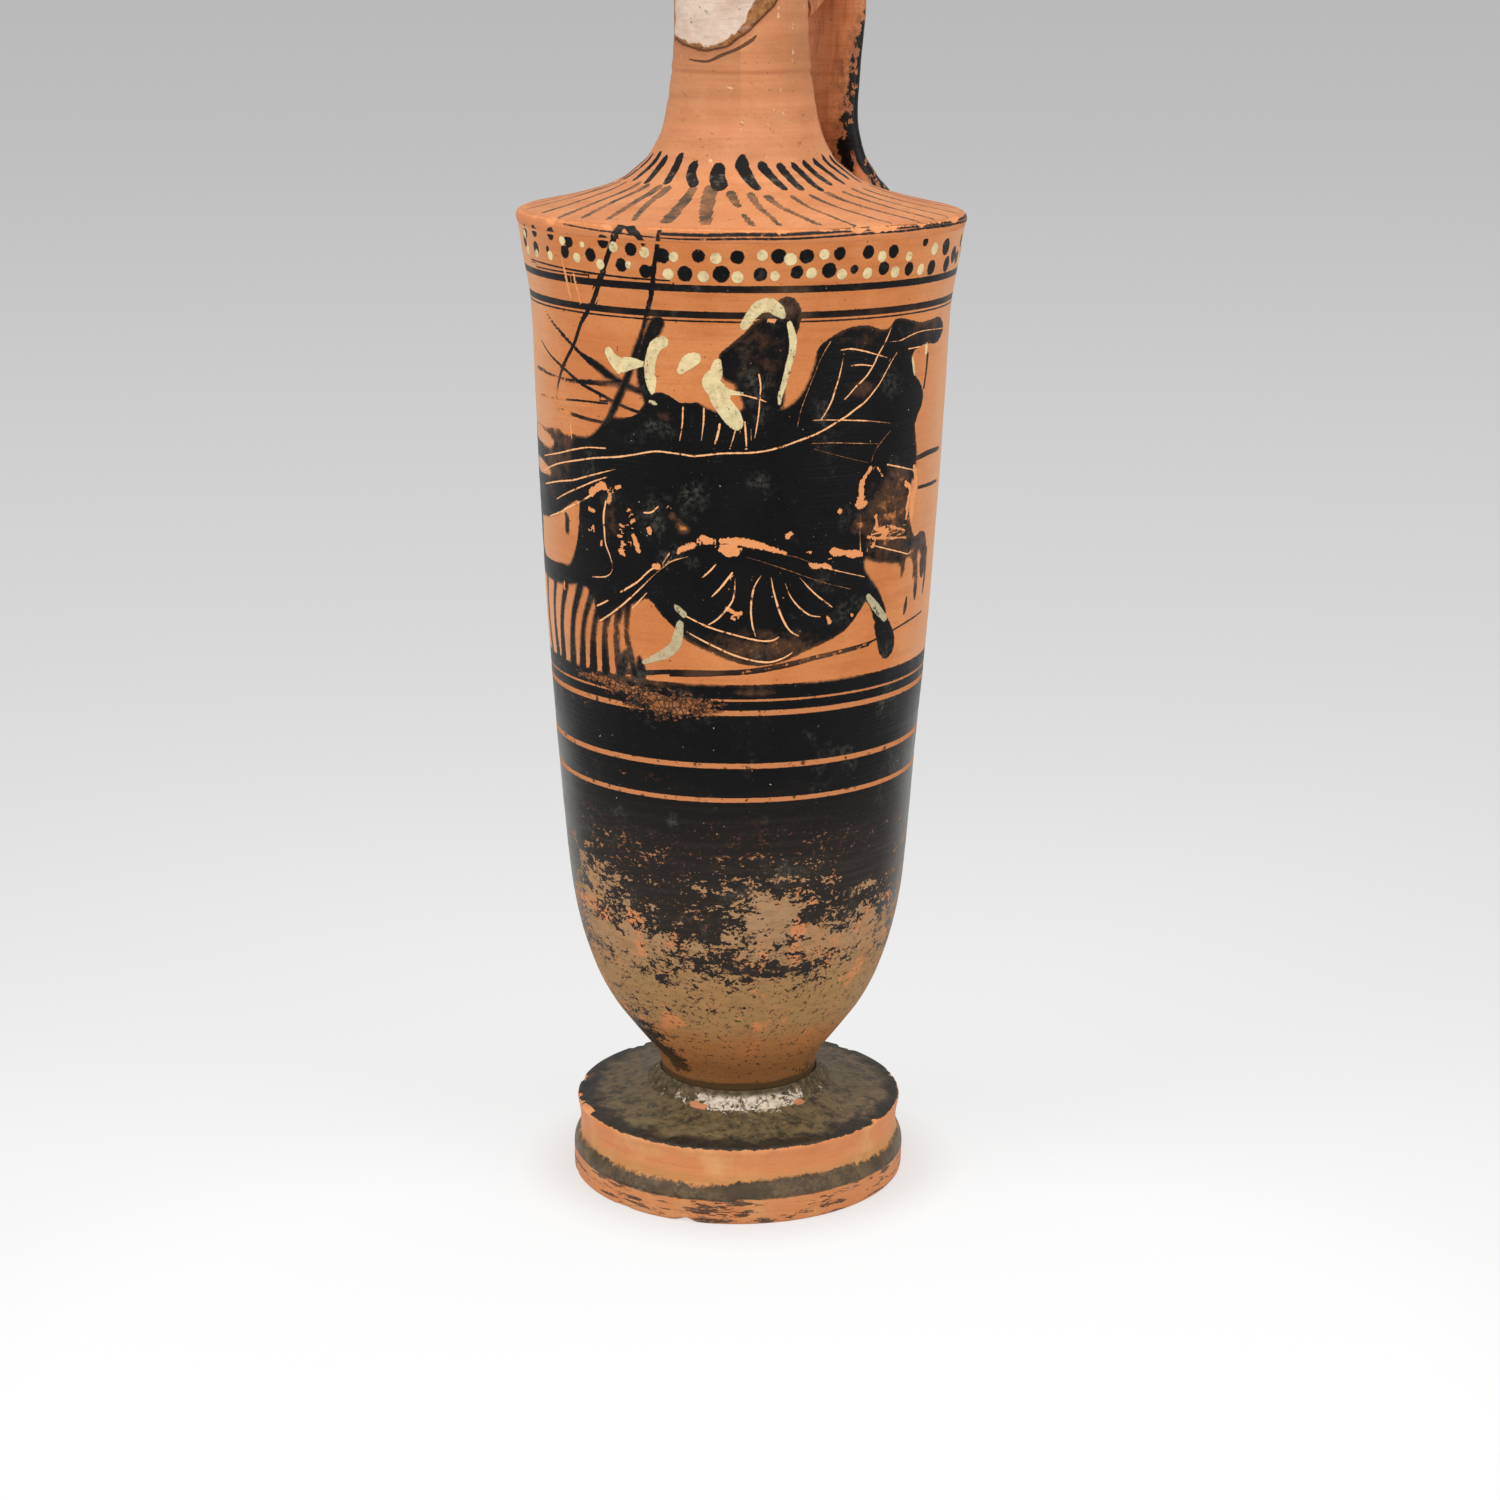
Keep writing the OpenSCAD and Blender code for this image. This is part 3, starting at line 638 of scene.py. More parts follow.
RAYS = [
    [(-79.5, -22.4, .35), (-81.5, -29, .35), (-79, -37, .35)],
    [(-70, -22.1, .35), (-69.5, -28, .35), (-65, -38, .4)],
    [(-57, -21.6, .4), (-58.5, -28.4, .4), (-53.8, -38.4, .5)],
    [(-49.4, -22, .42), (-51, -28, .4), (-46.5, -37.4, .45)],
    [(-40.9, -22.2, .55), (-41.4, -27.5, .5), (-37.9, -37, .4)],
    [(-35.5, -22.3, .6), (-35.2, -27.4, .45), (-30, -36.6, .35)],
    [(-22.7, -22.2, .6), (-21.9, -27, .75), (-20.4, -36.3, .95)],
    [(-13.9, -22, 1.0), (-12.4, -27.5, .95), (-9.4, -36.8, .8)],
    [(-4.5, -23, .65), (-1.3, -27.7, .45)],
    [(0.7, -31.9, .3), (2.7, -37.3, .5)],
    [(4, -23.3, .55), (6.3, -28.5, .4), (8.7, -33, .3), (9.6, -37.3, .35)],
    [(10.9, -24, .5), (13.4, -27.7, .42), (17.7, -32.6, .42), (20.3, -37.2, .42)],
    [(21.6, -24.1, .35), (24, -28.8, .25), (27, -33, .25), (29.5, -38.6, .25)],
    [(30.5, -24, .35), (34, -28.4, .25), (38, -33, .25), (41.2, -38.4, .25)],
    [(40.1, -23.6, .6), (43.5, -27.6, .35), (47.5, -32, .28), (50.9, -38.5, .28)],
    [(50.2, -23.8, .45), (54, -27.6, .3), (56.8, -32.8, .28), (58.8, -38.6, .28)],
    [(59.4, -23.2, .45), (62, -27, .3), (65.4, -32, .28), (67.6, -38.8, .28)],
    [(69.1, -23.4, .35), (72, -27.7, .3), (76, -33, .28), (78, -38.6, .28)],
] + [[(a, -23.4, .4), (a + 3, -28, .3), (a + 5, -33, .28), (a + 7, -38.4, .25)] for a in range(84, 275, 10)]
# The worn double line under the shoulder's edge.
EDGE_STROKES = [
    [(-19.7, 182.8, .14), (-9.9, 182.8, .18), (0, 183, .18), (9, 183, .18), (14, 183.1, .16),
     (24, 183.4, .18), (36, 183.5, .18), (50, 183.4, .16), (70, 183.3, .16), (100, 183.2, .16)],
]
EDGE_LOWER = [
    [(-49.3, 183.2, .12), (-36.3, 182.7, .14), (-19, 182.1, .14), (-9.9, 182.1, .18), (0, 182.3, .2),
     (11.5, 182.3, .2), (24, 182.6, .18), (32.4, 182.8, .22), (42, 182.8, .2), (51, 182.9, .2),
     (64.4, 182.8, .24), (100, 182.4, .2)],
]
LOST_SLIP = [
    # places on the lower wall where more or less slip has worn away: angle, height, reach sideways, reach
    # upwards, strength
    (11, 60.5, 11, 5, .72), (30, 56, 14, 5, .3), (27, 60.5, 7, 2.6, -.35), (-5, 63, 6, 2, -.2),
    (40, 57, 6, 4, -.2), (-31, 58, 6, 4, -.2), (-47, 55, 8, 2.5, -.15), (-12, 53, 7, 4, .22),
    (8, 51, 6, 1.5, -.15), (41, 55.5, 6, 2.5, -.22), (-32, 53, 6, 2, -.22), (-12, 58.5, 8, 2, .14),
    (24, 59, 6, 2, -.15), (4, 66, 8, 2, .4), (3, 71, 8, 1, .25), (-38, 53, 17, 3.4, .55),
    (-57, 59, 12, 6, .35), (-54, 67, 9, 3, .3), (-60, 76, 12, 2, .12), (-14, 57, 13, 4, -.4),
    (-22, 49, 10, 1.8, -.25), (50, 67, 14, 4, -.3), (52, 63, 12, 1, .35), (46, 56, 12, 3, .2),
    (13, 48.6, 20, 1.4, -.4), (-13, 42, 9, 2.5, -.5), (22, 75, 12, 1.2, .25), (-10, 50, 15, 3.5, -.3),
    (-16, 62, 12, 4, -.15), (36, 71, 9, 1.2, .25), (-30, 73, 12, 1.4, .2), (-54, 31, 16, 6, -1.35),
    (-47, 24.5, 19, 4, -1.4), (60, 22, 22, 2.5, -1.0), (130, 58, 22, 6, .4), (190, 54, 18, 6, -.4),
    (240, 60, 16, 5, .4), (-46, 102.6, 9, .9, .9), (-34, 101.2, 9, 2, 1.1), (-22, 99.4, 10, 2.2, 1.1),
    (-10, 100.2, 8, 1.8, .9), (-55, 97.4, 7, .8, .5), (-55, 86.6, 16, .5, .55), (-28, 85.9, 9, .5, .45),
    (5, 102.8, 10, .5, .45), (160, 90, 10, 6, .4), (215, 120, 12, 8, .3),
]
# How far the slip has worn away towards the foot: height, share.
LOW_WEAR = [
    (20, 1.95), (30, 1.75), (38, 1.5), (46, 1.16), (54, .8), (60, .56), (66, .4), (74, .22), (82, .06),
    (88, 0),
]


def dots(surface, places):
    """Signed distance to round dabs of paint."""
    angle, height, radius = surface
    made = np.full(len(angle), -REACH)
    for a, z, r in places:
        near = np.flatnonzero((np.abs(height - z) < REACH) & (np.abs(wrap(angle - a)) < 12))
        across = wrap(angle[near] - a) * radius[near] * np.pi / 180
        made[near] = np.maximum(made[near], r - np.hypot(across, height[near] - z))
    return made


def soft_spots(surface, places):
    """Adds up soft round spots: (angle, height, reach in degrees, reach in height, strength)."""
    angle, height, _ = surface
    total = np.zeros(len(angle))
    for a, z, wide, tall, strength in places:
        total += strength * np.exp(-(wrap(angle - a) / wide) ** 2 - ((height - z) / tall) ** 2)
    return total


def widest(stroke):
    return max(half for _, _, half in stroke)


FINE_STROKES = [stroke for stroke in BRUSH_STROKES if widest(stroke) <= FINE]
BROAD_STROKES = [stroke for stroke in BRUSH_STROKES if widest(stroke) > FINE]


def hind_leg(top, low, half):
    """A brush stroke that bends back from its top and spreads at its lower end."""
    return [(top, 119.4, half), ((top + low) / 2 - 1.8, 112, half * 0.8), (low, 104, half * 1.1)]


def body_black(surface):
    """Signed distance to everything that was painted black with a broad brush."""
    legs = [hind_leg(*leg) for leg in HIND_LEGS]
    black = np.maximum(mass(surface, BODY_MASSES), brush(surface, BROAD_STROKES + legs))
    black = np.maximum(black, dots(surface, BLACK_DOTS))
    black = np.minimum(black, -mass(surface, BODY_WINDOWS))
    black = np.maximum(black, brush(surface, DRIPS))
    return np.maximum(black, np.clip(GROUND_Z - surface[1], -REACH, REACH))


def body_paint(surface):
    """All paint on the wall of the body, as values at each point."""
    height = surface[1]
    return {
        "black": body_black(surface),
        "line": rings(scratch(surface, FINE_STROKES), height, PAINTED_RINGS),
        "cut_a": rings(scratch(surface, INCISED), height, BARE_RINGS),
        "cut_b": rings(scratch(surface, INCISED_ACROSS), height, BARE_RINGS_ACROSS),
        "cream": np.maximum(brush(surface, CREAM), dots(surface, CREAM_DOTS)),
        "chip": scratch(surface, CHIPS, 0.8), "thin": soft_spots(surface, THIN_SLIP),
        "worn": soft_spots(surface, LOST_SLIP) + np.interp(height, *np.array(LOW_WEAR).T),
    }


# ---------------------------------------------------------------- wear and clay

BRUSH_SPREAD = 0.3            # the brush left the shoulder's tongues this much wider on each side
FLOOR_Z = STEM_Z + 12         # inside bottom of the body
WALL = 4.0                    # thickness of the body's wall


def wheel_marks(height, seed, depth=0.05):
    """The faint rings that a turning wheel leaves."""
    line = np.stack([0 * height, 0 * height, height], axis=-1)
    return depth * (noise(line, 3.1, seed, 2) + 0.5 * noise(line, 0.9, seed + 5, 1))


def ripple(angle, radius, height, size, depth, seed):
    """Uneven clay: the surface moves in and out by about the given depth."""
    return depth * noise(to_xyz(angle, radius, height), size, seed)


def on_circle(angle, radius):
    """Places at the given angles on one level circle."""
    return to_xyz(angle, np.full(len(angle), radius), np.zeros(len(angle)))


def chips(angle, seed, share, size):
    """How deep a rim is chipped at each angle, from 0 to 1."""
    rough = noise(on_circle(angle, 35.0), size, seed, 4)
    return smooth_step(rough, 0.5 - share, 0.9 - share)


def bell(value, middle, width):
    """1 at the middle, and less on both sides of it."""
    return np.exp(-((value - middle) / width) ** 2)


# ---------------------------------------------------------------- body

INSIDE_LEVELS = [0.97, 0.85, 0.7, 0.55, 0.4, 0.27, 0.18]      # of the inner wall, as shares of its height


def body_profile():
    """The body's outline, and how many of its points are on the outer wall."""
    heights = np.concatenate([
        np.arange(STEM_Z + 0.6, 80, 1.2), np.arange(80, 104, 0.9), np.arange(104, JOINT_Z - 0.2, 0.5),
    ])
    outer = np.stack([cad_radius("body", heights), heights], axis=-1)
    outer[:, 0] += wheel_marks(heights, 3) - 0.35 * bell(heights, 23, 4)
    inner_z = np.array(INSIDE_LEVELS) * (JOINT_Z - STEM_Z) + STEM_Z
    inner = np.stack([cad_radius("body", inner_z) - WALL, inner_z], axis=-1)
    start = [(8, STEM_Z), (STEM_R, STEM_Z)]
    top = [(BODY_R - 0.1, JOINT_Z), (BODY_R - WALL - 0.8, JOINT_Z)]
    floor = [(20.5, FLOOR_Z + 13), (15, FLOOR_Z + 6.5), (7, FLOOR_Z + 1)]
    return np.vstack([start, outer, top, inner, floor]), len(start) + len(outer)


def make_body():
    angles = front_columns(0.5, 0.8)
    profile, outside = body_profile()
    angle, radius, height, faces = turned(profile, angles, bottom_pole=STEM_Z, top_pole=FLOOR_Z)
    radius = radius + ripple(angle, radius, height, 14, 0.06, 11) * (radius > 1)
    on_wall = np.arange(len(angle)) < outside * len(angles)
    paint = body_paint((angle, height, np.maximum(radius, 1)))
    for key, empty in (("cream", -REACH), ("thin", 0), ("worn", 0), ("black", -REACH)):
        paint[key] = np.where(on_wall, paint[key], empty)
    return add_piece("body_wall", to_xyz(angle, radius, height), faces, "body", paint)


# ---------------------------------------------------------------- shoulder


def shoulder_profile():
    r = BODY_R
    return outline(
        [(r - 0.5, JOINT_Z), (r, JOINT_Z + 0.05), (r + 0.3, EDGE_Z - 0.9), (r + 0.15, EDGE_Z - 0.1),
         (r - 0.45, EDGE_Z + 0.35), (r - 1.2, EDGE_Z + 0.55)],
        [(r - 1.2, EDGE_Z + 0.55), (r - 9, EDGE_Z + 2.25), (25, EDGE_Z + 4.05), (21.3, EDGE_Z + 5.75),
         (ROOT_R, ROOT_Z)],
        [(ROOT_R, ROOT_Z), (HOLE_R, ROOT_Z)],
        [(HOLE_R, ROOT_Z), (HOLE_R, EDGE_Z + 5)],
        [(HOLE_R, EDGE_Z + 5), (20, EDGE_Z + 1.8), (29, EDGE_Z - 1), (r - 4.8, JOINT_Z)],
        [(r - 4.8, JOINT_Z), (r - 0.5, JOINT_Z)], step=0.55)[:-1]


def shoulder_layers(side, slope, on_side, outside):
    """The paint on the shoulder's edge, which goes on from the wall, and on its slope."""
    wall = body_paint(side)
    slope_black = np.where(outside, brush(slope, TONGUES) + BRUSH_SPREAD, -REACH)
    line = np.where(on_side[:, None], scratch(side, FINE_STROKES + EDGE_STROKES), scratch(slope, RAYS))
    line[~outside, 3] = -1
    lower = scratch(side, EDGE_LOWER)
    lower[~on_side, 3] = -1
    return {
        "black": np.where(on_side, wall["black"], slope_black),
        "cream": np.where(on_side, wall["cream"], -REACH),
        "line": line, "cut_a": lower, "side": on_side.astype(float),
    }


def make_shoulder():
    angles = around(440)
    r = BODY_R
    angle, radius, height, faces = turned(shoulder_profile(), angles)
    outside = (height > JOINT_Z - 0.1) & (radius > 18) & (np.arange(len(angle)) < len(angle) * 0.58)
    edge = bell(radius, r, 0.9) * outside
    corner = np.exp(-((height - EDGE_Z - 0.2) / 0.42) ** 2) * (radius > r - 1.6) * outside
    worn = chips(angle, 21, 0.36, 2.6)
    radius = radius - edge * (0.35 * worn + 0.1)
    height = height - edge * (0.5 * worn + 0.05)
    free = outside * smooth_step(radius, ROOT_R, 21.5)
    radius = radius + free * ripple(angle, radius, height, 9, 0.05, 22)
    height = height + free * ripple(angle, radius, height, 6, 0.06, 23)
    on_side = outside & (radius > r - 1.0) & (height < EDGE_Z + 0.7)
    paint = shoulder_layers((angle, height, radius), (angle, -radius, radius), on_side, outside)
    spared = np.exp(-(wrap(angle + 29) / 4.5) ** 4)
    paint["rub"] = corner * (0.6 + 0.4 * worn) * (1 - spared)
    points = to_xyz(angle, radius, height)
    return add_piece("shoulder_slope", points, faces, "shoulder", paint)


# ---------------------------------------------------------------- neck and its plaster

NECK_R = 11.9                 # radius of the upper neck
CHANNEL_R = 8.8               # radius of the channel in it
LOST_TURN = -27.0             # angle that the lost piece of the neck faces
LOST_HALF = 70.0              # half of its width, in degrees
# The lower edge of the lost piece: distance across, height under the neck's top.
LOST_EDGE = [
    (-12, -14.3), (-8.8, -14.7), (-6, -15.4), (-3.4, -15.8), (-0.8, -16.1), (1.5, -15.9), (3.2, -15.2),
    (4.9, -13.8), (6.7, -12.6), (7.7, -11.3), (8.8, -9.9), (10, -8.2), (11.3, -4.5), (12, -3),
]
# Width of the stained strip between the break and the white plaster: distance across, width.
STAINED = [
    (-12, .6), (-7.5, .5), (-6, 1.0), (-5, .4), (-2.6, 1.1), (-1.5, .5), (.9, .7), (3.3, 1.2), (4.8, 1.3),
    (6, 1.8), (6.5, 3.4), (7.4, 4.0), (10, 4.6), (12, 6),
]
# A second crack below the break: angle, height, half width.
SECOND_CRACK = [
    [(-48, 210.2, .05), (-40, 210, .12), (-28, 210, .2), (-16, 211.1, .26), (-5, 212, .24), (3, 212.9, .28),
     (9, 213.7, .24), (12.4, 214.4, .12)],
]


def neck_edge(angle):
    """Height of the top of the old neck: its own top, or the edge where a piece is lost."""
    turn = wrap(angle - LOST_TURN)
    across = NECK_R * np.sin(np.radians(np.clip(turn, -LOST_HALF, LOST_HALF)))
    edge = NECK_TOP + np.interp(across, *np.array(LOST_EDGE).T)
    wave = noise(on_circle(angle, 12.0), 2.2, 31, 3)
    kept = smooth_step(np.abs(turn), LOST_HALF - 0.6, LOST_HALF + 0.6)
    return (edge + 0.25 * wave) * (1 - kept) + NECK_TOP * kept


def neck_profile():
    """Outer wall of the neck, from its root to its top."""
    return curve([
        (ROOT_R, ROOT_Z), (16.5, ROOT_Z + 2), (14.5, ROOT_Z + 5.8), (13.3, ROOT_Z + 10.8),
        (12.45, ROOT_Z + 16.8), (NECK_R, ROOT_Z + 22.8), (11.8, ROOT_Z + 30.8), (12.1, NECK_TOP),
    ], 0.5)


def neck_ridges(height, angle):
    """Wheel ridges and the groove round the upper neck."""
    groove = -0.28 * np.exp(-((height - ROOT_Z - 16.6) / 0.5) ** 2)
    ridge = 0.04 * np.sin((height - ROOT_Z) * 1.9) * smooth_step(height, ROOT_Z + 7, ROOT_Z + 12)
    return groove + ridge + wheel_marks(height, 33, 0.045) + 0.03 * np.sin(np.radians(angle) * 3 + height)


def cut_back(height, edge, low):
    """Squeezes the heights above low, so that the neck ends at its broken edge."""
    share = (height - low) / (NECK_TOP - low)
    return np.where(height > low, low + share * (edge - low), height)


def make_neck():
    angles = around(240)
    outer = neck_profile()
    inner = curve([(CHANNEL_R, NECK_TOP), (CHANNEL_R, ROOT_Z + 7), (CHANNEL_R + 1.2, ROOT_Z + 3),
                   (HOLE_R, ROOT_Z)], 2.0)
    profile = np.vstack([outer, [(11.2, NECK_TOP), (10, NECK_TOP)], inner])
    angle, radius, height, faces = turned(profile, angles)
    edge = neck_edge(angle)
    height = cut_back(height, edge, ROOT_Z + 15)
    outside = np.arange(len(angle)) < len(outer) * len(angles)
    outer_r = np.interp(height, outer[:, 1], outer[:, 0])
    marks = neck_ridges(height, angle) + ripple(angle, outer_r, height, 5, 0.08, 34)
    shape = outer_r + marks * smooth_step(height, ROOT_Z, ROOT_Z + 3)
    broken = outside * np.exp(-((edge - height) / 0.5) ** 2) * (edge < NECK_TOP - 0.5)
    radius = np.where(outside, shape - 0.35 * broken, radius)
    tongues = brush((angle, -outer_r, outer_r), TONGUES) + BRUSH_SPREAD
    paint = {
        "black": np.where(outside & (height < ROOT_Z + 6), tongues, -REACH),
        "crack": np.where(outside, edge - height, 9.0),
        "line": scratch((angle, height, outer_r), SECOND_CRACK),
        # painted shade: the handle's shadow on the right side of the upper neck
        "dull": smooth_step(angle, 0, 64) * smooth_step(height, ROOT_Z + 8, ROOT_Z + 17),
    }
    return add_piece("neck_tube", to_xyz(angle, radius, height), faces, "neck", paint)


def plaster_section(angle, outer):
    """A closed cut through the plaster: (angle, radius, height), its face first."""
    levels, depth, back_r = 44, 4, 8.85
    low = neck_edge(np.array([angle]))[0] + 0.05
    heights = np.linspace(low, NECK_TOP - 0.02, levels)
    turn = np.full(levels, angle)
    radii = np.interp(heights, outer[:, 1], outer[:, 0]) - 0.12
    radii = radii + ripple(turn, radii, heights, 3.5, 0.16, 35) + ripple(turn, radii, heights, 1.2, 0.06, 36)
    radii = radii - 0.3 * bell(heights, low, 0.35)
    top = np.linspace(radii[-1], back_r, depth + 2)[1:-1]
    bottom = np.linspace(back_r, radii[0], depth + 2)[1:-1]
    runs = [(radii, heights), (top, np.full(depth, heights[-1])), (np.full(levels, back_r), heights[::-1]),
            (bottom, np.full(depth, low))]
    return np.vstack([np.stack([np.full(len(r), angle), r, z], axis=-1) for r, z in runs])


def sweep_faces(count, ring):
    """Quads along a sweep of closed sections, with a face over each end."""
    faces = []
    for i in range(count - 1):
        for k in range(ring):
            n = (k + 1) % ring
            faces.append([i * ring + k, (i + 1) * ring + k, (i + 1) * ring + n, i * ring + n])
    faces.append(list(range(ring)))
    faces.append([(count - 1) * ring + k for k in range(ring - 1, -1, -1)])
    return faces


def make_neck_fill():
    """The plaster that stands for the lost piece: a curved slab with a smeared face."""
    turns = np.linspace(-LOST_HALF - 0.3, LOST_HALF + 0.3, 130)
    outer = neck_profile()
    sections = [plaster_section(turn + LOST_TURN, outer) for turn in turns]
    angle, radius, height = np.vstack(sections).T
    above = height - neck_edge(angle)
    across = NECK_R * np.sin(np.radians(angle - LOST_TURN))
    paint = {"crack": above, "stain": above - np.interp(across, *np.array(STAINED).T)}
    faces = sweep_faces(len(turns), len(sections[0]))
    return add_piece("neck_plaster", to_xyz(angle, radius, height), faces, "neck_fill", paint)


# ---------------------------------------------------------------- mouth


def mouth_profile():
    """The cup: under it, its outside, its lip, and its inside down to the throat."""
    r, low, top, throat = MOUTH_R, NECK_TOP, MOUTH_TOP, 8.5
    return outline(
        [(throat, low), (12.1, low)],
        [(12.1, low), (13.7, low + 0.3), (14.4, low + 1.2), (17, low + 5.5), (20.6, low + 13),
         (22.7, top - 7), (23.7, top - 2), (r, top - 0.8), (r - 0.7, top)],
        [(r - 0.7, top), (r - 2, top + 0.05), (r - 3.2, top - 0.3)],
        [(r - 3.2, top - 0.3), (r - 4.1, top - 1.6), (r - 6.3, top - 8), (r - 9.2, top - 15),
         (11.7, low + 8.2), (throat, low + 6)],
        [(throat, low + 6), (throat, low)], step=0.7)[:-1]


def make_mouth():
    angle, radius, height, faces = turned(mouth_profile(), around(200))
    rim = np.exp(-((height - MOUTH_TOP) / 1.3) ** 2 - ((radius - MOUTH_R + 1) / 2.5) ** 2)
    worn = chips(angle, 41, 0.2, 7.0)
    height = height - rim * (0.5 * worn)
    radius = radius - rim * 0.35 * worn * np.sign(radius - MOUTH_R + 1.6)
    radius = radius + wheel_marks(height, 42, 0.06) + ripple(angle, radius, height, 8, 0.06, 43)
    paint = {"rub": rim * worn, "lip": smooth_step(height, MOUTH_TOP - 0.9, MOUTH_TOP - 0.4)}
    return add_piece("mouth_cup", to_xyz(angle, radius, height), faces, "mouth", paint)


# ---------------------------------------------------------------- handle

# The strap's middle line: distance from the axis, height above the neck's top, width, thickness.
STRAP = [
    (9, -8.9, 17, 7.6), (11.3, -8.1, 15.6, 6.6), (14.3, -6.5, 14.2, 5.7), (18.5, -1.2, 14, 5.4),
    (24.5, -2.6, 14, 5.4), (26.3, -9, 14, 5.4), (25, -19, 14, 5.4), (24.2, -29, 14.2, 5.4),
    (25.3, -35.5, 15.4, 5.9), (26.8, -39.2, 17.6, 7.6), (27.4, -41.5, 20.5, 10), (27.8, -43, 22, 12),
]
STRAP_SIDES = 72
# Where the slip ends on the strap's near side: height, degrees round the strap.
STRAP_EDGE = [
    (186, -16), (189.0, -16), (190.2, -58), (192.4, -66), (195, -62), (197.5, -50), (200.7, -34),
    (209.6, -28), (214, -15), (218, 0), (222, 6),
]


def strap_path():
    path = curve([(y, NECK_TOP + z, wide, thick) for y, z, wide, thick in STRAP], 0.45)
    path[:, 0] -= 0.8 * smooth_step(np.arange(len(path)), 20, 60)
    return path


def strap_points(path, turn):
    """The strap's rounded section, carried along its path and left slightly uneven."""
    across = np.sign(np.cos(turn)) * np.abs(np.cos(turn)) ** 0.8
    out = np.sign(np.sin(turn)) * np.abs(np.sin(turn)) ** 0.9
    run = np.gradient(path[:, :2], axis=0)
    run /= np.linalg.norm(run, axis=1)[:, None]
    x = path[:, 2:3] / 2 * across
    # fingers left a slight hollow along the outer face
    depth = path[:, 3:4] / 2 * out * (1 - 0.1 * np.exp(-(across * 2) ** 2) * (out > 0))
    y = path[:, 0:1] - run[:, 1:2] * depth
    z = path[:, 1:2] + run[:, 0:1] * depth
    points = np.stack([x, y, z], axis=-1).reshape(-1, 3)
    middle = np.repeat(np.stack([0 * path[:, 0], path[:, 0], path[:, 1]], axis=-1), len(turn), axis=0)
    away = points - middle
    swell = noise(points, 5, 51, 3)[:, None] * 0.12
    return points + away / np.linalg.norm(away, axis=1)[:, None] * swell


def strap_gloss(path, turn):
    """How far inside the slip a place is, in tens of degrees round the strap."""
    # 0 is the side that the camera sees, 90 the outer face
    girth = (np.degrees(turn) + 90) % 360 - 90
    limit = np.interp(path[:, 1], *np.array(STRAP_EDGE).T)[:, None]
    gloss = np.minimum(girth - limit, 190 - girth)
    gloss = gloss - 80 * np.exp(-((path[:, 1:2] - 190) / 2.4) ** 2 - ((girth + 26) / 9) ** 2)
    return gloss.ravel() / 10


def make_handle():
    """The strap, swept along its middle line from inside the neck's wall to inside the shoulder."""
    path = strap_path()
    sides, rows = STRAP_SIDES, len(path)
    turn = -np.radians(around(sides))
    faces = grid_faces(rows, sides)
    faces += fan(rows * sides, 0, sides, True) + fan(rows * sides + 1, (rows - 1) * sides, sides, False)
    ends = [[0, path[0, 0], path[0, 1]], [0, path[-1, 0], path[-1, 1]]]
    points = np.vstack([strap_points(path, turn), ends])
    along = np.append(np.repeat(np.linspace(0, 1, rows), sides), [0, 1])
    paint = {"gloss": np.append(strap_gloss(path, turn), [0, 0]), "along": along}
    return add_piece("handle_strap", points, faces, "handle", paint)


# ---------------------------------------------------------------- foot and its plaster

# Fresh breaks on the foot's top and its plaster: angle, radius, reach sideways, reach outwards, strength.
FRESH_FLAKES = [(-28, 17.6, 5, .7, 1), (-22, 17.9, 4, .5, .8), (40, 18, 5, .6, 1)]


def foot_profile(r, h):
    """The disc: hollow underside, resting ring, lower roll, groove, upper band and top."""
    return outline(
        [(6, 5.5), (14, 3.6), (r - 12.5, 1), (r - 10.6, 0.15), (r - 9.6, 0)],
        [(r - 9.6, 0), (r - 0.35, 0)],
        [(r - 0.35, 0), (r - 0.05, 0.35), (r, 3.4), (r - 0.05, 5.6), (r - 0.7, 7.2)],
        [(r - 0.7, 7.2), (r - 1.15, 7.6), (r - 1.2, 7.9)],
        [(r - 1.2, 7.9), (r - 1.25, 10.4), (r - 0.95, h - 2.1), (r - 0.65, h - 0.9), (r - 0.9, h - 0.2),
         (r - 1.6, h)],
        [(r - 1.6, h), (r - 6, h + 0.5), (r - 11, h + 1.3), (16.2, STEM_Z - 0.3), (STEM_R, STEM_Z)], step=0.5)


def foot_layers(angle, radius, height, h):
    """Plaster smears and fresh flakes on the foot's top, and how low its dark band lies."""
    front = np.exp(-(wrap(angle - 5) / 34) ** 2)
    on_top = height > h
    return {
        "white": 0.8 * front * bell(radius, 17.6, 1.3) * on_top,
        "fresh": soft_spots((angle, radius, radius), FRESH_FLAKES) * on_top,
        "sunk": 1.6 * smooth_step(-angle, 15, 66) + 0.9 * smooth_step(angle, 20, 60),
    }


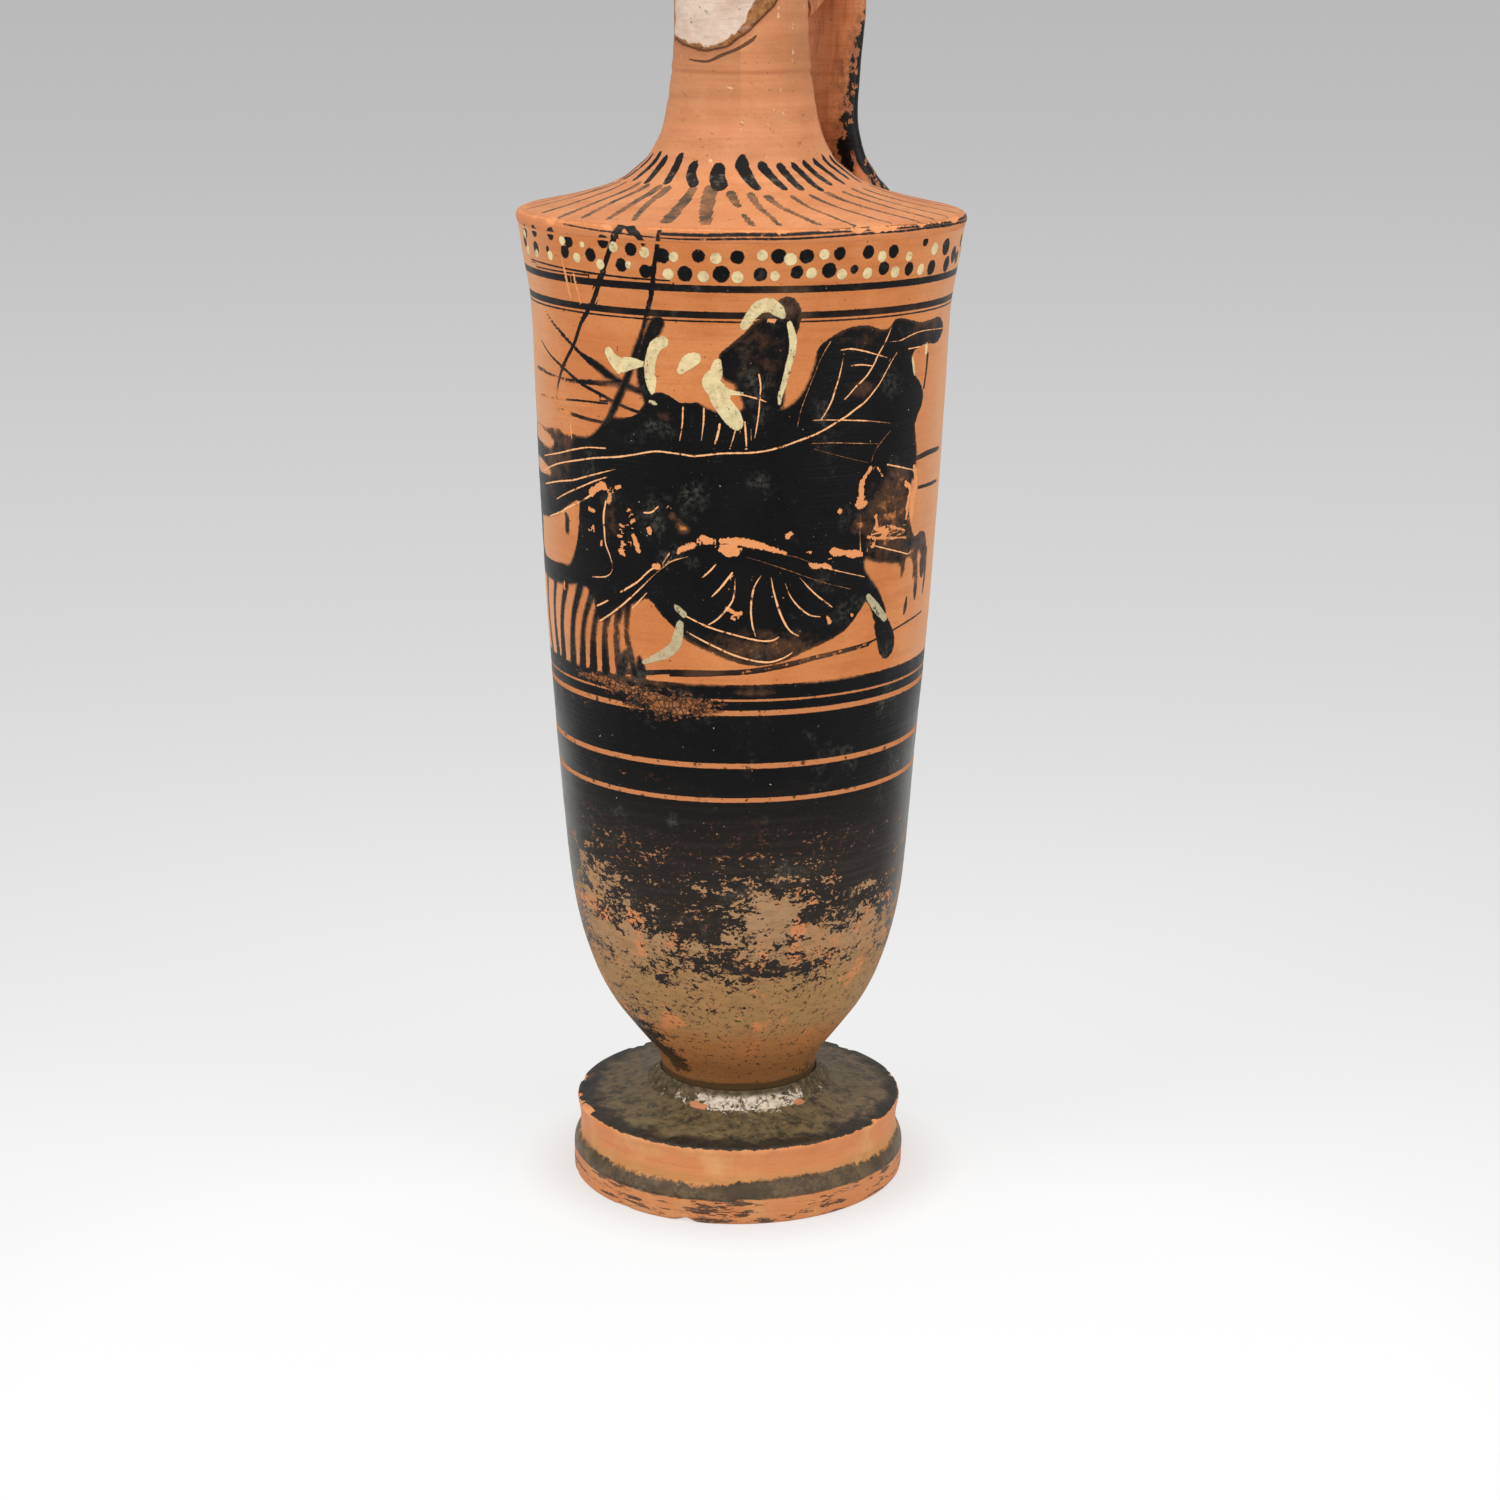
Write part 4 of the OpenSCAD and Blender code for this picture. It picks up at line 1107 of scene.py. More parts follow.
def make_foot():
    r, h = FOOT_R - 0.5, FOOT_H
    angle, radius, height, faces = turned(foot_profile(r, h), around(260), bottom_pole=6.0, top_pole=STEM_Z)
    upper = np.exp(-((radius - r + 0.9) / 0.9) ** 2 - ((height - h) / 0.9) ** 2)
    lower = np.exp(-((radius - r + 0.8) / 1.3) ** 2 - ((height - 0.6) / 1.3) ** 2)
    worn = chips(angle, 61, 0.3, 3.0)
    dent = chips(angle, 62, 0.15, 8.0)
    nick = np.exp(-(wrap(angle + 18) / 2.6) ** 2)
    radius = radius - upper * 0.5 * worn - lower * (0.5 * dent + 0.5 * nick)
    height = height - upper * 0.45 * worn + lower * (0.3 * dent + 0.8 * nick) * (height < 2)
    marks = wheel_marks(height, 63, 0.07) + ripple(angle, radius, height, 7, 0.07, 64)
    radius = radius + (radius > 5) * marks
    height = height + (height < h - 1) * (radius < r - 11) * 0.12 * np.sin(radius * 2.6)
    flaked = 0.9 * np.exp(-(wrap(angle + 70) / 4.5) ** 2 - ((radius - r + 1.0) / 1.0) ** 2) * (height > h - 1)
    paint = foot_layers(angle, radius, height, h)
    paint["rub"] = upper * (0.25 + 0.6 * worn) + lower * (dent + nick) + flaked
    return add_piece("foot_disc", to_xyz(angle, radius, height), faces, "foot", paint)


def foot_fill_profile():
    low, r = FOOT_H, STEM_R
    return outline(
        [(r - 0.4, STEM_Z - 0.6), (r + 1.4, low + 2.0), (r + 3.1, low + 1.6)],
        [(r + 3.1, low + 1.6), (r + 2.6, low + 2.5), (r + 1.7, STEM_Z + 0.2), (r + 0.8, STEM_Z + 1.1),
         (r + 0.15, STEM_Z + 2)],
        [(r + 0.15, STEM_Z + 2), (r - 0.4, STEM_Z + 1.5)],
        [(r - 0.4, STEM_Z + 1.5), (r - 0.4, STEM_Z - 0.6)], step=0.3)[:-1]


def make_foot_fill():
    """The lumpy ring of plaster in the corner between foot and stem."""
    angle, radius, height, faces = turned(foot_fill_profile(), around(300))
    lump = noise(to_xyz(angle, radius, height), 3.2, 71, 3)
    fine = noise(to_xyz(angle, radius, height), 0.9, 72, 2)
    shown = smooth_step(radius + height, STEM_R + STEM_Z + 0.4, STEM_R + STEM_Z + 1.4)
    radius = radius + shown * (0.35 * lump + 0.08 * fine)
    height = height + shown * 0.15 * lump
    paint = {
        "white": np.exp(-(wrap(angle - 5) / 38) ** 4),
        "fresh": soft_spots((angle, radius, radius), FRESH_FLAKES),
        "dirt": smooth_step(height, STEM_Z + 0.7, STEM_Z + 1.5),
    }
    return add_piece("foot_plaster", to_xyz(angle, radius, height), faces, "foot_join_fill", paint)


# ---------------------------------------------------------------- materials

# Every tone, as 8-bit sRGB values.
TONES = {
    # clay
    "clay": (184, 111, 62), "clay pale": (205, 137, 86), "clay deep": (150, 83, 42),
    "clay fresh": (222, 150, 98), "clay flaked": (188, 124, 88), "clay sheen": (206, 162, 128),
    "slope clay": (198, 128, 82), "slope pale": (216, 152, 106), "neck clay": (184, 120, 78),
    "neck pale": (206, 148, 106), "neck deep": (150, 88, 52), "strap clay": (204, 128, 82),
    "strap pale": (222, 160, 112), "strap deep": (150, 88, 50),
    # slip
    "slip": (7, 7, 8), "slip worn": (25, 24, 22), "slip old": (46, 39, 33), "slip brown": (66, 44, 30),
    "slip grey": (70, 62, 50), "ochre": (200, 124, 62), "slip dust": (96, 88, 78), "smudge": (104, 102, 92),
    "lime": (196, 184, 158), "slip sheen": (138, 138, 134), "ember": (104, 62, 42), "chalky": (100, 94, 82),
    # what shows under the slip
    "tan": (153, 119, 86), "tan olive": (146, 112, 70), "tan ruddy": (160, 113, 74),
    "tan dark": (116, 90, 56), "tan fresh": (202, 122, 76), "rust": (158, 100, 56), "scuff": (112, 68, 40),
    "vein": (38, 26, 18), "cut": (228, 170, 120), "cut low": (180, 114, 70),
    # cream paint
    "cream": (214, 198, 150), "cream dull": (168, 154, 116), "cream grey": (160, 150, 122),
    "cream soiled": (132, 122, 92),
    # dirt, and a darker tone towards the stem
    "dirt": (52, 42, 30), "stem darkening": (88, 58, 28), "seam dirt": (54, 44, 28), "stain": (120, 82, 50),
    "soot": (92, 56, 36), "grit": (110, 70, 44),
    # the foot
    "foot dark": (64, 56, 42), "foot dusty": (106, 92, 66), "foot mottle": (122, 100, 68),
    "foot smut": (50, 45, 37), "groove": (44, 41, 30), "foot wash": (206, 168, 112),
    "foot ruddy": (158, 104, 66), "foot haze": (158, 124, 68), "white smear": (200, 184, 160),
    # the neck
    "neck wash": (150, 104, 70), "neck handle shade": (150, 100, 64), "finger band": (210, 138, 98),
    "break shade": (120, 66, 32), "break lip shadow": (58, 34, 20), "crack": (62, 36, 20),
    "neck flake": (222, 184, 142), "wiped": (126, 72, 42),
    # plaster
    "plaster": (208, 188, 172), "plaster grey": (190, 166, 148), "plaster warm": (198, 156, 126),
    "break light": (164, 112, 68), "break dark": (120, 76, 42), "hole": (140, 112, 92),
    "scrape": (168, 146, 130), "grime dark": (62, 52, 36), "grime": (108, 92, 64), "white": (206, 194, 176),
    "white grey": (160, 140, 112), "white crack": (70, 58, 42),
    # the stage
    "backdrop": (185, 185, 185), "painted contact shadow": (222, 214, 208),
}


def rgb(red, green, blue):
    """A linear colour from 8-bit sRGB values."""
    steps = [c / 255 for c in (red, green, blue)]
    return tuple(c / 12.92 if c < 0.04 else ((c + 0.055) / 1.055) ** 2.4 for c in steps) + (1.0,)


def tone(colour):
    """A tone by its name; a socket is left as it is."""
    return rgb(*TONES[colour]) if isinstance(colour, str) else colour


class Look:
    """One material, whose nodes are made with short calls."""

    def __init__(self, name):
        self.material = bpy.data.materials.new(name)
        self.material.use_nodes = True
        self.tree = self.material.node_tree
        self.tree.nodes.clear()
        self.place = self.add("ShaderNodeTexCoord").outputs["Object"]

    def add(self, kind, inputs=None, **settings):
        node = self.tree.nodes.new(kind)
        for key, value in settings.items():
            setattr(node, key, value)
        for key, value in (inputs or {}).items():
            if isinstance(value, bpy.types.NodeSocket):
                self.tree.links.new(value, node.inputs[key])
            else:
                node.inputs[key].default_value = value
        return node

    def calc(self, operation, a, b=0.0):
        return self.add("ShaderNodeMath", {0: a, 1: b}, operation=operation).outputs[0]

    def chain(self, operation, values):
        total = values[0]
        for value in values[1:]:
            total = self.calc(operation, total, value)
        return total

    def add_up(self, *values):
        return self.chain("ADD", values)

    def most(self, *values):
        return self.chain("MAXIMUM", values)

    def times(self, *values):
        return self.chain("MULTIPLY", values)

    def stack(self, base, *layers):
        """The base with layers on it: (cover, height)."""
        return self.add_up(base, *(self.times(cover, height) for cover, height in layers))

    def without(self, value, less):
        return self.times(value, self.calc("SUBTRACT", 1.0, less))

    def share(self, value, low, high):
        """Goes smoothly from 0 at low to 1 at high."""
        return self.add("ShaderNodeMapRange", {0: value, 1: low, 2: high, 3: 0.0, 4: 1.0},
                        interpolation_type="SMOOTHSTEP").outputs[0]

    def level(self, share, a, b):
        return self.add("ShaderNodeMix", {0: share, 2: a, 3: b}, data_type="FLOAT").outputs[0]

    def mix(self, share, a, b):
        return self.add("ShaderNodeMix", {0: share, 6: tone(a), 7: tone(b)}, data_type="RGBA").outputs[2]

    def tint(self, colour, added, cover, strength=None):
        """The colour with another laid over it where cover is 1, as strongly as strength says."""
        return self.mix(cover if strength is None else self.times(cover, strength), colour, added)

    def value(self, name):
        return self.add("ShaderNodeAttribute", attribute_name=name).outputs["Fac"]

    def vector(self, name):
        """The parts of a stored offset and its half width."""
        node = self.add("ShaderNodeAttribute", attribute_name=name)
        parts = self.add("ShaderNodeSeparateXYZ", {0: node.outputs["Color"]})
        return parts.outputs[0], parts.outputs[1], node.outputs["Alpha"]

    def noise(self, size, detail, rough, shift, squeeze=(1, 1, 1)):
        """Noise from 0 to 1 with features of about size millimetres; each shift gives another pattern."""
        scale = tuple(1000 / size * s for s in squeeze)
        moved = (shift, shift * 1.7, shift * 0.6)
        mapped = self.add("ShaderNodeMapping", {0: self.place, 1: moved, 3: scale})
        node = self.add("ShaderNodeTexNoise", {
            "Vector": mapped.outputs[0], "Scale": 1.0, "Detail": detail, "Roughness": rough})
        return node.outputs[0]

    def centred(self, *noise_settings, **more):
        return self.calc("SUBTRACT", self.noise(*noise_settings, **more), 0.5)

    def wobble(self, amount, *noise_settings, **more):
        """Noise around zero, as strong as amount says."""
        return self.times(self.centred(*noise_settings, **more), amount)

    def patches(self, low, high, *noise_settings, **more):
        """Patches of noise: 0 where it is at low, 1 where it is at high."""
        return self.share(self.noise(*noise_settings, **more), low, high)

    def height(self):
        parts = self.add("ShaderNodeSeparateXYZ", {0: self.place})
        return self.times(parts.outputs[2], 1000.0)

    def from_axis(self):
        """Distance from the axis in millimetres."""
        x, y = self.add("ShaderNodeSeparateXYZ", {0: self.place}).outputs[:2]
        across = self.add_up(self.times(x, x), self.times(y, y))
        return self.times(self.calc("SQRT", across), 1000.0)

    def cracks(self, size, width, shift):
        """Thin lines between cells of about size millimetres, from 0 to 1."""
        mapped = self.add("ShaderNodeMapping", {0: self.place, 1: (shift,) * 3, 3: (1000 / size,) * 3})
        place = mapped.outputs[0]
        bend = self.add("ShaderNodeTexNoise", {"Vector": place, "Scale": 1.5, "Detail": 3.0}).outputs[1]
        moved = self.add("ShaderNodeVectorMath", {0: place, 1: bend}, operation="ADD")
        cells = self.add("ShaderNodeTexVoronoi", {"Vector": moved.outputs[0], "Scale": 1.0},
                         feature="DISTANCE_TO_EDGE")
        return self.share(cells.outputs[0], width, width * 0.4)

    def finish(self, colour, roughness, bump, specular):
        """Closes the material; bump is a height in millimetres."""
        normal = self.add("ShaderNodeBump", {"Height": bump, "Distance": MM, "Strength": 1.0}).outputs[0]
        shader = self.add("ShaderNodeBsdfPrincipled", {
            "Base Color": colour, "Roughness": roughness, "Normal": normal, "Specular IOR Level": specular})
        self.add("ShaderNodeOutputMaterial", {0: shader.outputs[0]})
        return self.material


def clay_colour(look, base, pale, deep):
    """Burnished clay: soft clouds, wheel streaks, fine grain, and dark and pale specks."""
    colour = look.tint(base, pale, look.patches(0.35, 0.7, 11.0, 3.0, 0.6, 1.0), 0.45)
    streak = look.patches(0.45, 0.75, 2.4, 3.0, 0.6, 2.0, squeeze=(0.16, 0.16, 2.0))
    colour = look.tint(colour, deep, streak, 0.3)
    colour = look.tint(colour, deep, look.patches(0.5, 0.72, 0.55, 3.0, 0.7, 3.0), 0.3)
    colour = look.tint(colour, "dirt", look.patches(0.74, 0.79, 0.8, 1.0, 0.5, 4.0), 0.7)
    return look.tint(colour, pale, look.patches(0.74, 0.8, 0.7, 1.0, 0.5, 5.0), 0.35)


def clay_bump(look):
    """Height of bare clay in millimetres."""
    wheel = look.wobble(0.08, 0.9, 2.0, 0.5, 6.0, squeeze=(0.06, 0.06, 1.6))
    grain = look.wobble(0.05, 0.45, 3.0, 0.6, 7.0)
    pits = look.times(look.patches(0.72, 0.8, 1.1, 1.0, 0.5, 8.0), -0.06)
    return look.add_up(wheel, grain, pits)


def stroke_cover(look, name, ragged, soft=0.05, scale=1.0):
    """How far a place is inside the thin lines of a layer, from 0 to 1."""
    across, up, half = look.vector(name)
    distance = look.calc("SQRT", look.add_up(look.times(across, across), look.times(up, up)))
    inside = look.calc("SUBTRACT", look.add_up(look.times(half, scale), ragged), distance)
    return look.times(look.share(inside, -soft, soft), look.share(half, -0.3, 0.0))


def cut_cover(look, name, ragged):
    """Incised lines: deep ones are bright and wide, hairlines thin and faint."""
    half = look.vector(name)[2]
    depth = look.share(half, 0.05, 0.2)
    cover = stroke_cover(look, name, ragged, 0.05, look.level(depth, 0.32, 0.6))
    return look.times(cover, look.level(depth, 0.5, 1.0))


def slip_colour(look, thin, dull):
    """Black slip that fires brown and then orange where it is thin."""
    colour = look.tint("slip", "slip worn", look.patches(0.4, 0.7, 7.0, 4.0, 0.6, 11.0), 0.2)
    colour = look.mix(dull, colour, "slip worn")
    colour = look.tint(colour, "slip dust", look.patches(0.7, 0.76, 0.5, 2.0, 0.6, 12.0), 0.3)
    colour = look.tint(colour, "slip brown", look.share(thin, 0.25, 0.75))
    return look.tint(colour, "ochre", look.share(thin, 0.8, 1.4))


# ---------------------------------------------------------------- material of the body


class BodyLook(Look):
    """The body's material, with the values that its layers share."""

    def __init__(self, name):
        super().__init__(name)
        self.z = self.height()
        self.wear = self.value("worn")
        self.nibble = self.wobble(0.25, 0.35, 2.0, 0.6, 21.0)
        self.edge = self.add_up(self.wobble(0.5, 0.9, 3.0, 0.6, 20.0), self.nibble)
        self.fine_edge = self.times(self.edge, 0.4)
        self.flakes = self.centred(2.3, 4.0, 0.68, 23.0, squeeze=(0.7, 0.7, 1.15))
        self.crumbs = self.centred(0.7, 3.0, 0.7, 36.0, squeeze=(0.8, 0.8, 1.2))
        self.black = self.add_up(self.value("black"), self.edge)
        self.loose = self.times(self.patches(0.46, 0.62, 13.0, 2.0, 0.5, 60.0),
                                self.share(self.z, EDGE_Z - 11, EDGE_Z - 15))
        self.dull = self.share(self.z, GROUND_Z - 14, GROUND_Z - 42)
        self.grazing = self.add("ShaderNodeLayerWeight", {"Blend": 0.5}).outputs["Facing"]
        self.stem_noise = self.wobble(5.0, 4.0, 4.0, 0.65, 35.0)


def painted_area(look):
    """Where slip was put: crisp or feathered masses, and thin lines."""
    masses = look.level(look.loose, look.share(look.black, -0.08, 0.08), look.share(look.black, -0.3, 0.4))
    return look.most(masses, stroke_cover(look, "line", look.fine_edge))


def worn_amount(look):
    """Wear as streaks that follow the wheel, and as flakes with crisp edges where much is worn."""
    streaks = look.centred(6.0, 5.0, 0.62, 22.0, squeeze=(0.45, 0.45, 1.4))
    stir = look.level(look.share(look.wear, 0.02, 0.35), 1.3, 3.0)
    flaky = look.add_up(look.times(look.flakes, 0.9), look.times(look.crumbs, 0.85))
    return look.add_up(look.wear, look.times(streaks, 1.9), look.times(flaky, stir))


def chipped_area(look):
    """Torn scratches and pinholes."""
    pinholes = look.patches(0.76, 0.78, 1.1, 2.0, 0.6, 24.0)
    torn = look.add_up(look.wobble(1.3, 0.8, 4.0, 0.7, 32.0), look.times(look.nibble, 0.8))
    return look.most(stroke_cover(look, "chip", torn, 0.04), look.times(pinholes, 0.8))


def incised_area(look):
    """The incised lines, which break up in the worn part of the black zone."""
    cuts = look.most(cut_cover(look, "cut_a", look.fine_edge), cut_cover(look, "cut_b", look.fine_edge))
    torn = look.share(look.add_up(look.wear, look.times(look.crumbs, 2.0)), 0.45, 0.65)
    cuts = look.without(cuts, look.times(torn, look.share(look.z, GROUND_Z, GROUND_Z - 1)))
    return look.times(cuts, look.level(look.patches(0.3, 0.42, 1.4, 2.0, 0.6, 25.0), 0.15, 1.0))


def body_slip_thinness(look, worn):
    """Slip is thin in places, at the edges of strokes and beside worn places."""
    near_edge = look.times(look.share(look.black, 0.9, 0.0), look.level(look.loose, 0.8, 1.6))
    uneven = look.wobble(2.6, 2.4, 4.0, 0.65, 26.0)
    thin = look.times(look.value("thin"), look.add_up(0.8, uneven))
    nearly = look.times(look.share(worn, 0.3, 0.8), 0.35)
    return look.add_up(thin, look.times(near_edge, 0.4), nearly)


def body_slip(look, worn):
    """Colour of the slip, with brush marks, grey smudges, specks of lime and a painted sheen at its edges."""
    slip = slip_colour(look, body_slip_thinness(look, worn), look.times(look.dull, 0.6))
    brushed = look.patches(0.45, 0.7, 1.6, 4.0, 0.65, 38.0, squeeze=(0.08, 0.08, 1.6))
    slip = look.tint(slip, "slip old", look.dull, look.level(brushed, 0.45, 0.95))
    smudge = look.times(look.patches(0.54, 0.72, 9.0, 4.0, 0.6, 42.0),
                        look.patches(0.4, 0.65, 0.9, 4.0, 0.7, 43.0))
    slip = look.tint(slip, "smudge", smudge, 0.3)
    slip = look.tint(slip, "lime", look.patches(0.78, 0.83, 0.6, 1.0, 0.5, 44.0), 0.6)
    # painted reflection: a grey sheen where the black zone turns away from view
    shine = look.times(look.share(look.grazing, 0.5, 1.05), look.share(look.z, GROUND_Z, GROUND_Z - 24),
                       look.share(look.z, 44.0, 58.0))
    slip = look.tint(slip, "slip sheen", shine, 0.7)
    ember = look.share(look.add_up(look.crumbs, look.times(look.flakes, 0.6)), 0.08, 0.16)
    return look.tint(slip, "ember", look.times(ember, look.share(look.wear, 0.05, 0.4)), 0.6)


def low_clay(look):
    """The worn clay of the lower body: tan under the black zone, redder at the stem."""
    tan = look.mix(look.share(look.z, 56.0, 42.0), "tan", "tan olive")
    tan = look.tint(tan, "tan ruddy", look.patches(0.45, 0.65, 6.0, 4.0, 0.6, 33.0), 0.5)
    mottle = look.patches(0.45, 0.7, 1.9, 4.0, 0.65, 34.0, squeeze=(0.5, 0.5, 1.4))
    tan = look.tint(tan, "tan dark", mottle, 0.5)
    tan = look.tint(tan, "tan fresh", look.patches(0.55, 0.64, 7.0, 5.0, 0.65, 39.0), 0.65)
    rusty = look.share(look.add_up(look.z, look.times(look.stem_noise, 1.6)), 37.0, 31.0)
    return look.tint(tan, "rust", rusty, 0.75)


def bared_clay(look, clay, cuts):
    """The clay that shows where slip is gone."""
    much = look.share(look.wear, 0.05, 0.25)
    scuffed = look.times(much, look.patches(0.22, 0.5, 0.9, 4.0, 0.75, 41.0))
    flaked = look.tint(look.mix(0.6, clay, "clay fresh"), "scuff", scuffed, 0.9)
    flaked = look.tint(flaked, "vein", look.times(look.cracks(1.0, 0.16, 62.0), much), 0.85)
    cut_tone = look.mix(look.share(look.z, GROUND_Z, GROUND_Z - 1.0), "cut", "cut low")
    return look.mix(look.share(look.z, 82.0, 66.0), look.mix(cuts, flaked, cut_tone), low_clay(look))


def body_dirt_and_stem_darkening(look, colour):
    """Grime in the bare low part, a darker tone towards the stem, and dirt in the stem's joint with the foot.
    """
    grime = look.times(look.patches(0.565, 0.63, 0.9, 4.0, 0.7, 27.0), look.share(look.z, 58.0, 46.0))
    colour = look.tint(colour, "dirt", grime, 0.9)
    # darker towards the stem
    stem = look.share(look.add_up(look.z, look.stem_noise), 32.0, 20.0)
    colour = look.tint(colour, "stem darkening", stem, 0.62)
    seam = look.share(look.add_up(look.z, look.times(look.stem_noise, 0.25)), 21.7, 21.1)
    return look.tint(colour, "seam dirt", seam, 0.8)


def cream_paint(look):
    """Cover and colour of the cream paint, which is gone and soiled in places."""
    inside = look.add_up(look.value("cream"), look.times(look.edge, 0.7))
    kept = look.patches(0.31, 0.42, 0.9, 4.0, 0.7, 28.0)
    cover = look.times(look.share(inside, -0.05, 0.1), look.times(kept, 0.92))
    colour = look.tint("cream", "cream dull", look.patches(0.35, 0.8, 2.2, 3.0, 0.6, 29.0), 0.7)
    colour = look.tint(colour, "cream grey", look.share(look.z, 128.0, 120.0), 0.75)
    colour = look.tint(colour, "cream soiled", look.patches(0.5, 0.7, 1.6, 4.0, 0.7, 61.0), 0.45)
    return cover, colour


def painted_body():
    """The wall: worn and scratched slip on clay, with lines cut through it and cream paint on it."""
    look = BodyLook("painted_body")
    worn = worn_amount(look)
    chip = chipped_area(look)
    cuts = incised_area(look)
    bare = look.most(look.share(worn, 0.74, 0.82), chip, cuts)
    slip = look.without(painted_area(look), bare)
    clay = clay_colour(look, "clay", "clay pale", "clay deep")
    under = bared_clay(look, clay, cuts)
    # painted sheen: the clay turns paler where the wall turns away from view
    clay = look.tint(clay, "clay sheen", look.share(look.grazing, 0.35, 1.0), 0.7)
    colour = look.mix(slip, look.mix(bare, clay, under), body_slip(look, worn))
    cream, cream_colour = cream_paint(look)
    colour = look.mix(cream, body_dirt_and_stem_darkening(look, colour), cream_colour)
    roughness = look.level(slip, 0.6, look.level(look.dull, 0.34, 0.45))
    roughness = look.level(cream, roughness, 0.8)
    roughness = look.add_up(roughness, look.wobble(0.22, 3.5, 3.0, 0.6, 30.0))
    uneven = look.times(slip, look.centred(0.7, 3.0, 0.6, 31.0))
    bump = look.stack(clay_bump(look), (slip, 0.035), (cuts, -0.08), (chip, -0.05), (cream, 0.09),
                      (uneven, 0.03))
    return look.finish(colour, roughness, bump, specular=0.09)


# ---------------------------------------------------------------- material of the shoulder and the foot


class ReservedLook(Look):
    """The material of shoulder and foot, with the values that its layers share."""

    def __init__(self, name):
        super().__init__(name)
        self.z = self.height()
        self.side = self.value("side")
        self.on_foot = self.share(self.z, 22.0, 20.0)
        self.ragged = self.wobble(0.6, 0.9, 3.0, 0.6, 40.0)
        self.cloudy = self.centred(4.5, 4.0, 0.6, 43.0)
        self.rub = self.share(self.add_up(self.value("rub"), self.times(self.ragged, 0.9)), 0.5, 0.62)


def shoulder_paint(look):
    """Cover of the shoulder's black paint, and of its rays, which are washed out to grey."""
    black = look.share(look.add_up(look.value("black"), look.times(look.ragged, 0.8)), -0.08, 0.08)
    black = look.without(black, look.on_foot)
    line = look.without(stroke_cover(look, "line", look.times(look.ragged, 0.5), 0.12, 1.8), look.on_foot)
    gaps = look.patches(0.3, 0.42, 0.9, 3.0, 0.65, 41.0, squeeze=(1, 1, 1.6))
    washed = look.patches(0.35, 0.65, 4.0, 4.0, 0.65, 29.0)
    rays = look.without(line, look.side)
    rays = look.times(rays, look.level(gaps, 0.5, 1.0), look.level(washed, 0.62, 1.0))
    upper_line = look.times(line, look.side, gaps)
    lower_line = look.without(stroke_cover(look, "cut_a", look.times(look.ragged, 0.4)), look.on_foot)
    lower_line = look.times(lower_line, look.times(look.side, gaps))
    return look.most(black, upper_line, lower_line), rays


def foot_paint(look):
    """Cover of the foot's slip: its top, a band in the groove, and streaks on the roll."""
    top_edge = look.wobble(1.0, 1.4, 4.0, 0.65, 48.0)
    top = look.share(look.add_up(look.z, top_edge), FOOT_H - 0.45, FOOT_H - 0.35)
    streaks = look.centred(3.0, 5.0, 0.7, 42.0, squeeze=(0.25, 0.25, 1.5))
    sunk = look.value("sunk")
    band_edge = look.add_up(look.cloudy, look.centred(1.0, 4.0, 0.7, 31.0))
    groove = look.times(
        look.share(look.add_up(look.z, look.times(streaks, 1.6), look.times(sunk, 0.6)), 4.9, 5.2),
        look.share(look.add_up(look.z, look.times(band_edge, 2.2), sunk), 8.7, 8.0))
    thin_streaks = look.centred(2.0, 5.0, 0.75, 42.0, squeeze=(0.22, 0.22, 1.5))
    roll = look.times(look.share(thin_streaks, 0.045, 0.07), look.share(look.z, 5.6, 4.6))
    return look.times(look.most(top, look.times(groove, 0.95), look.times(roll, 0.85)), look.on_foot)


def foot_dust(look):
    """The foot's slip turned olive by old dust, more on its top than at its rim and in the groove."""
    dusty = look.mix(look.patches(0.35, 0.65, 5.0, 5.0, 0.6, 37.0), "foot dark", "foot dusty")
    dusty = look.tint(dusty, "foot mottle", look.patches(0.42, 0.6, 1.5, 5.0, 0.75, 49.0), 0.7)
    dusty = look.tint(dusty, "foot smut", look.patches(0.5, 0.62, 1.9, 5.0, 0.75, 32.0), 0.75)
    outward = look.add_up(look.from_axis(), look.times(look.cloudy, 9.0))
    blackened = look.times(look.share(outward, FOOT_R - 6.0, FOOT_R - 3.2),
                           look.share(look.z, FOOT_H - 1.5, FOOT_H - 0.5))
    dusty = look.tint(dusty, "slip worn", blackened, 0.85)
    in_groove = look.share(look.z, 11.0, 9.0)
    clear = look.times(look.patches(0.5, 0.62, 16.0, 2.0, 0.5, 39.0), in_groove)
    dusty = look.tint(dusty, "slip worn", clear, 0.8)
    return look.tint(dusty, "groove", in_groove, 0.5)


def reserved_slip(look):
    """Colour of the slip on shoulder and foot."""
    slip = slip_colour(look, look.times(look.noise(3.0, 3.0, 0.6, 44.0), 0.35), 0.6)
    chalky = look.without(look.patches(0.48, 0.68, 1.4, 4.0, 0.7, 28.0), look.side)
    slip = look.tint(slip, "chalky", chalky, 0.7)
    return look.mix(look.times(look.on_foot, look.share(look.z, 4.4, 5.4)), slip, foot_dust(look))


def reserved_ground(look):
    """The bare clay, fresh where it is rubbed, with a wash, a ruddy roll and haze on the foot."""
    slope = clay_colour(look, "slope clay", "slope pale", "clay deep")
    clay = look.mix(look.most(look.side, look.on_foot), slope, look.mix(0.4, "clay", slope))
    clay = look.tint(clay, "clay fresh", look.rub, 0.5)
    wash = look.patches(0.45, 0.75, 9.0, 4.0, 0.6, 36.0)
    clay = look.tint(clay, "foot wash", wash, look.times(look.on_foot, 0.45))
    clay = look.tint(clay, "foot ruddy", look.share(look.z, 5.8, 4.8), look.times(look.on_foot, 0.25))
    haze = look.share(look.add_up(look.z, look.times(look.cloudy, 5.0)), 10.4, 8.2)
    haze = look.times(haze, look.share(look.z, 4.4, 5.4))
    return look.tint(clay, "foot haze", haze, look.times(look.on_foot, 0.4))


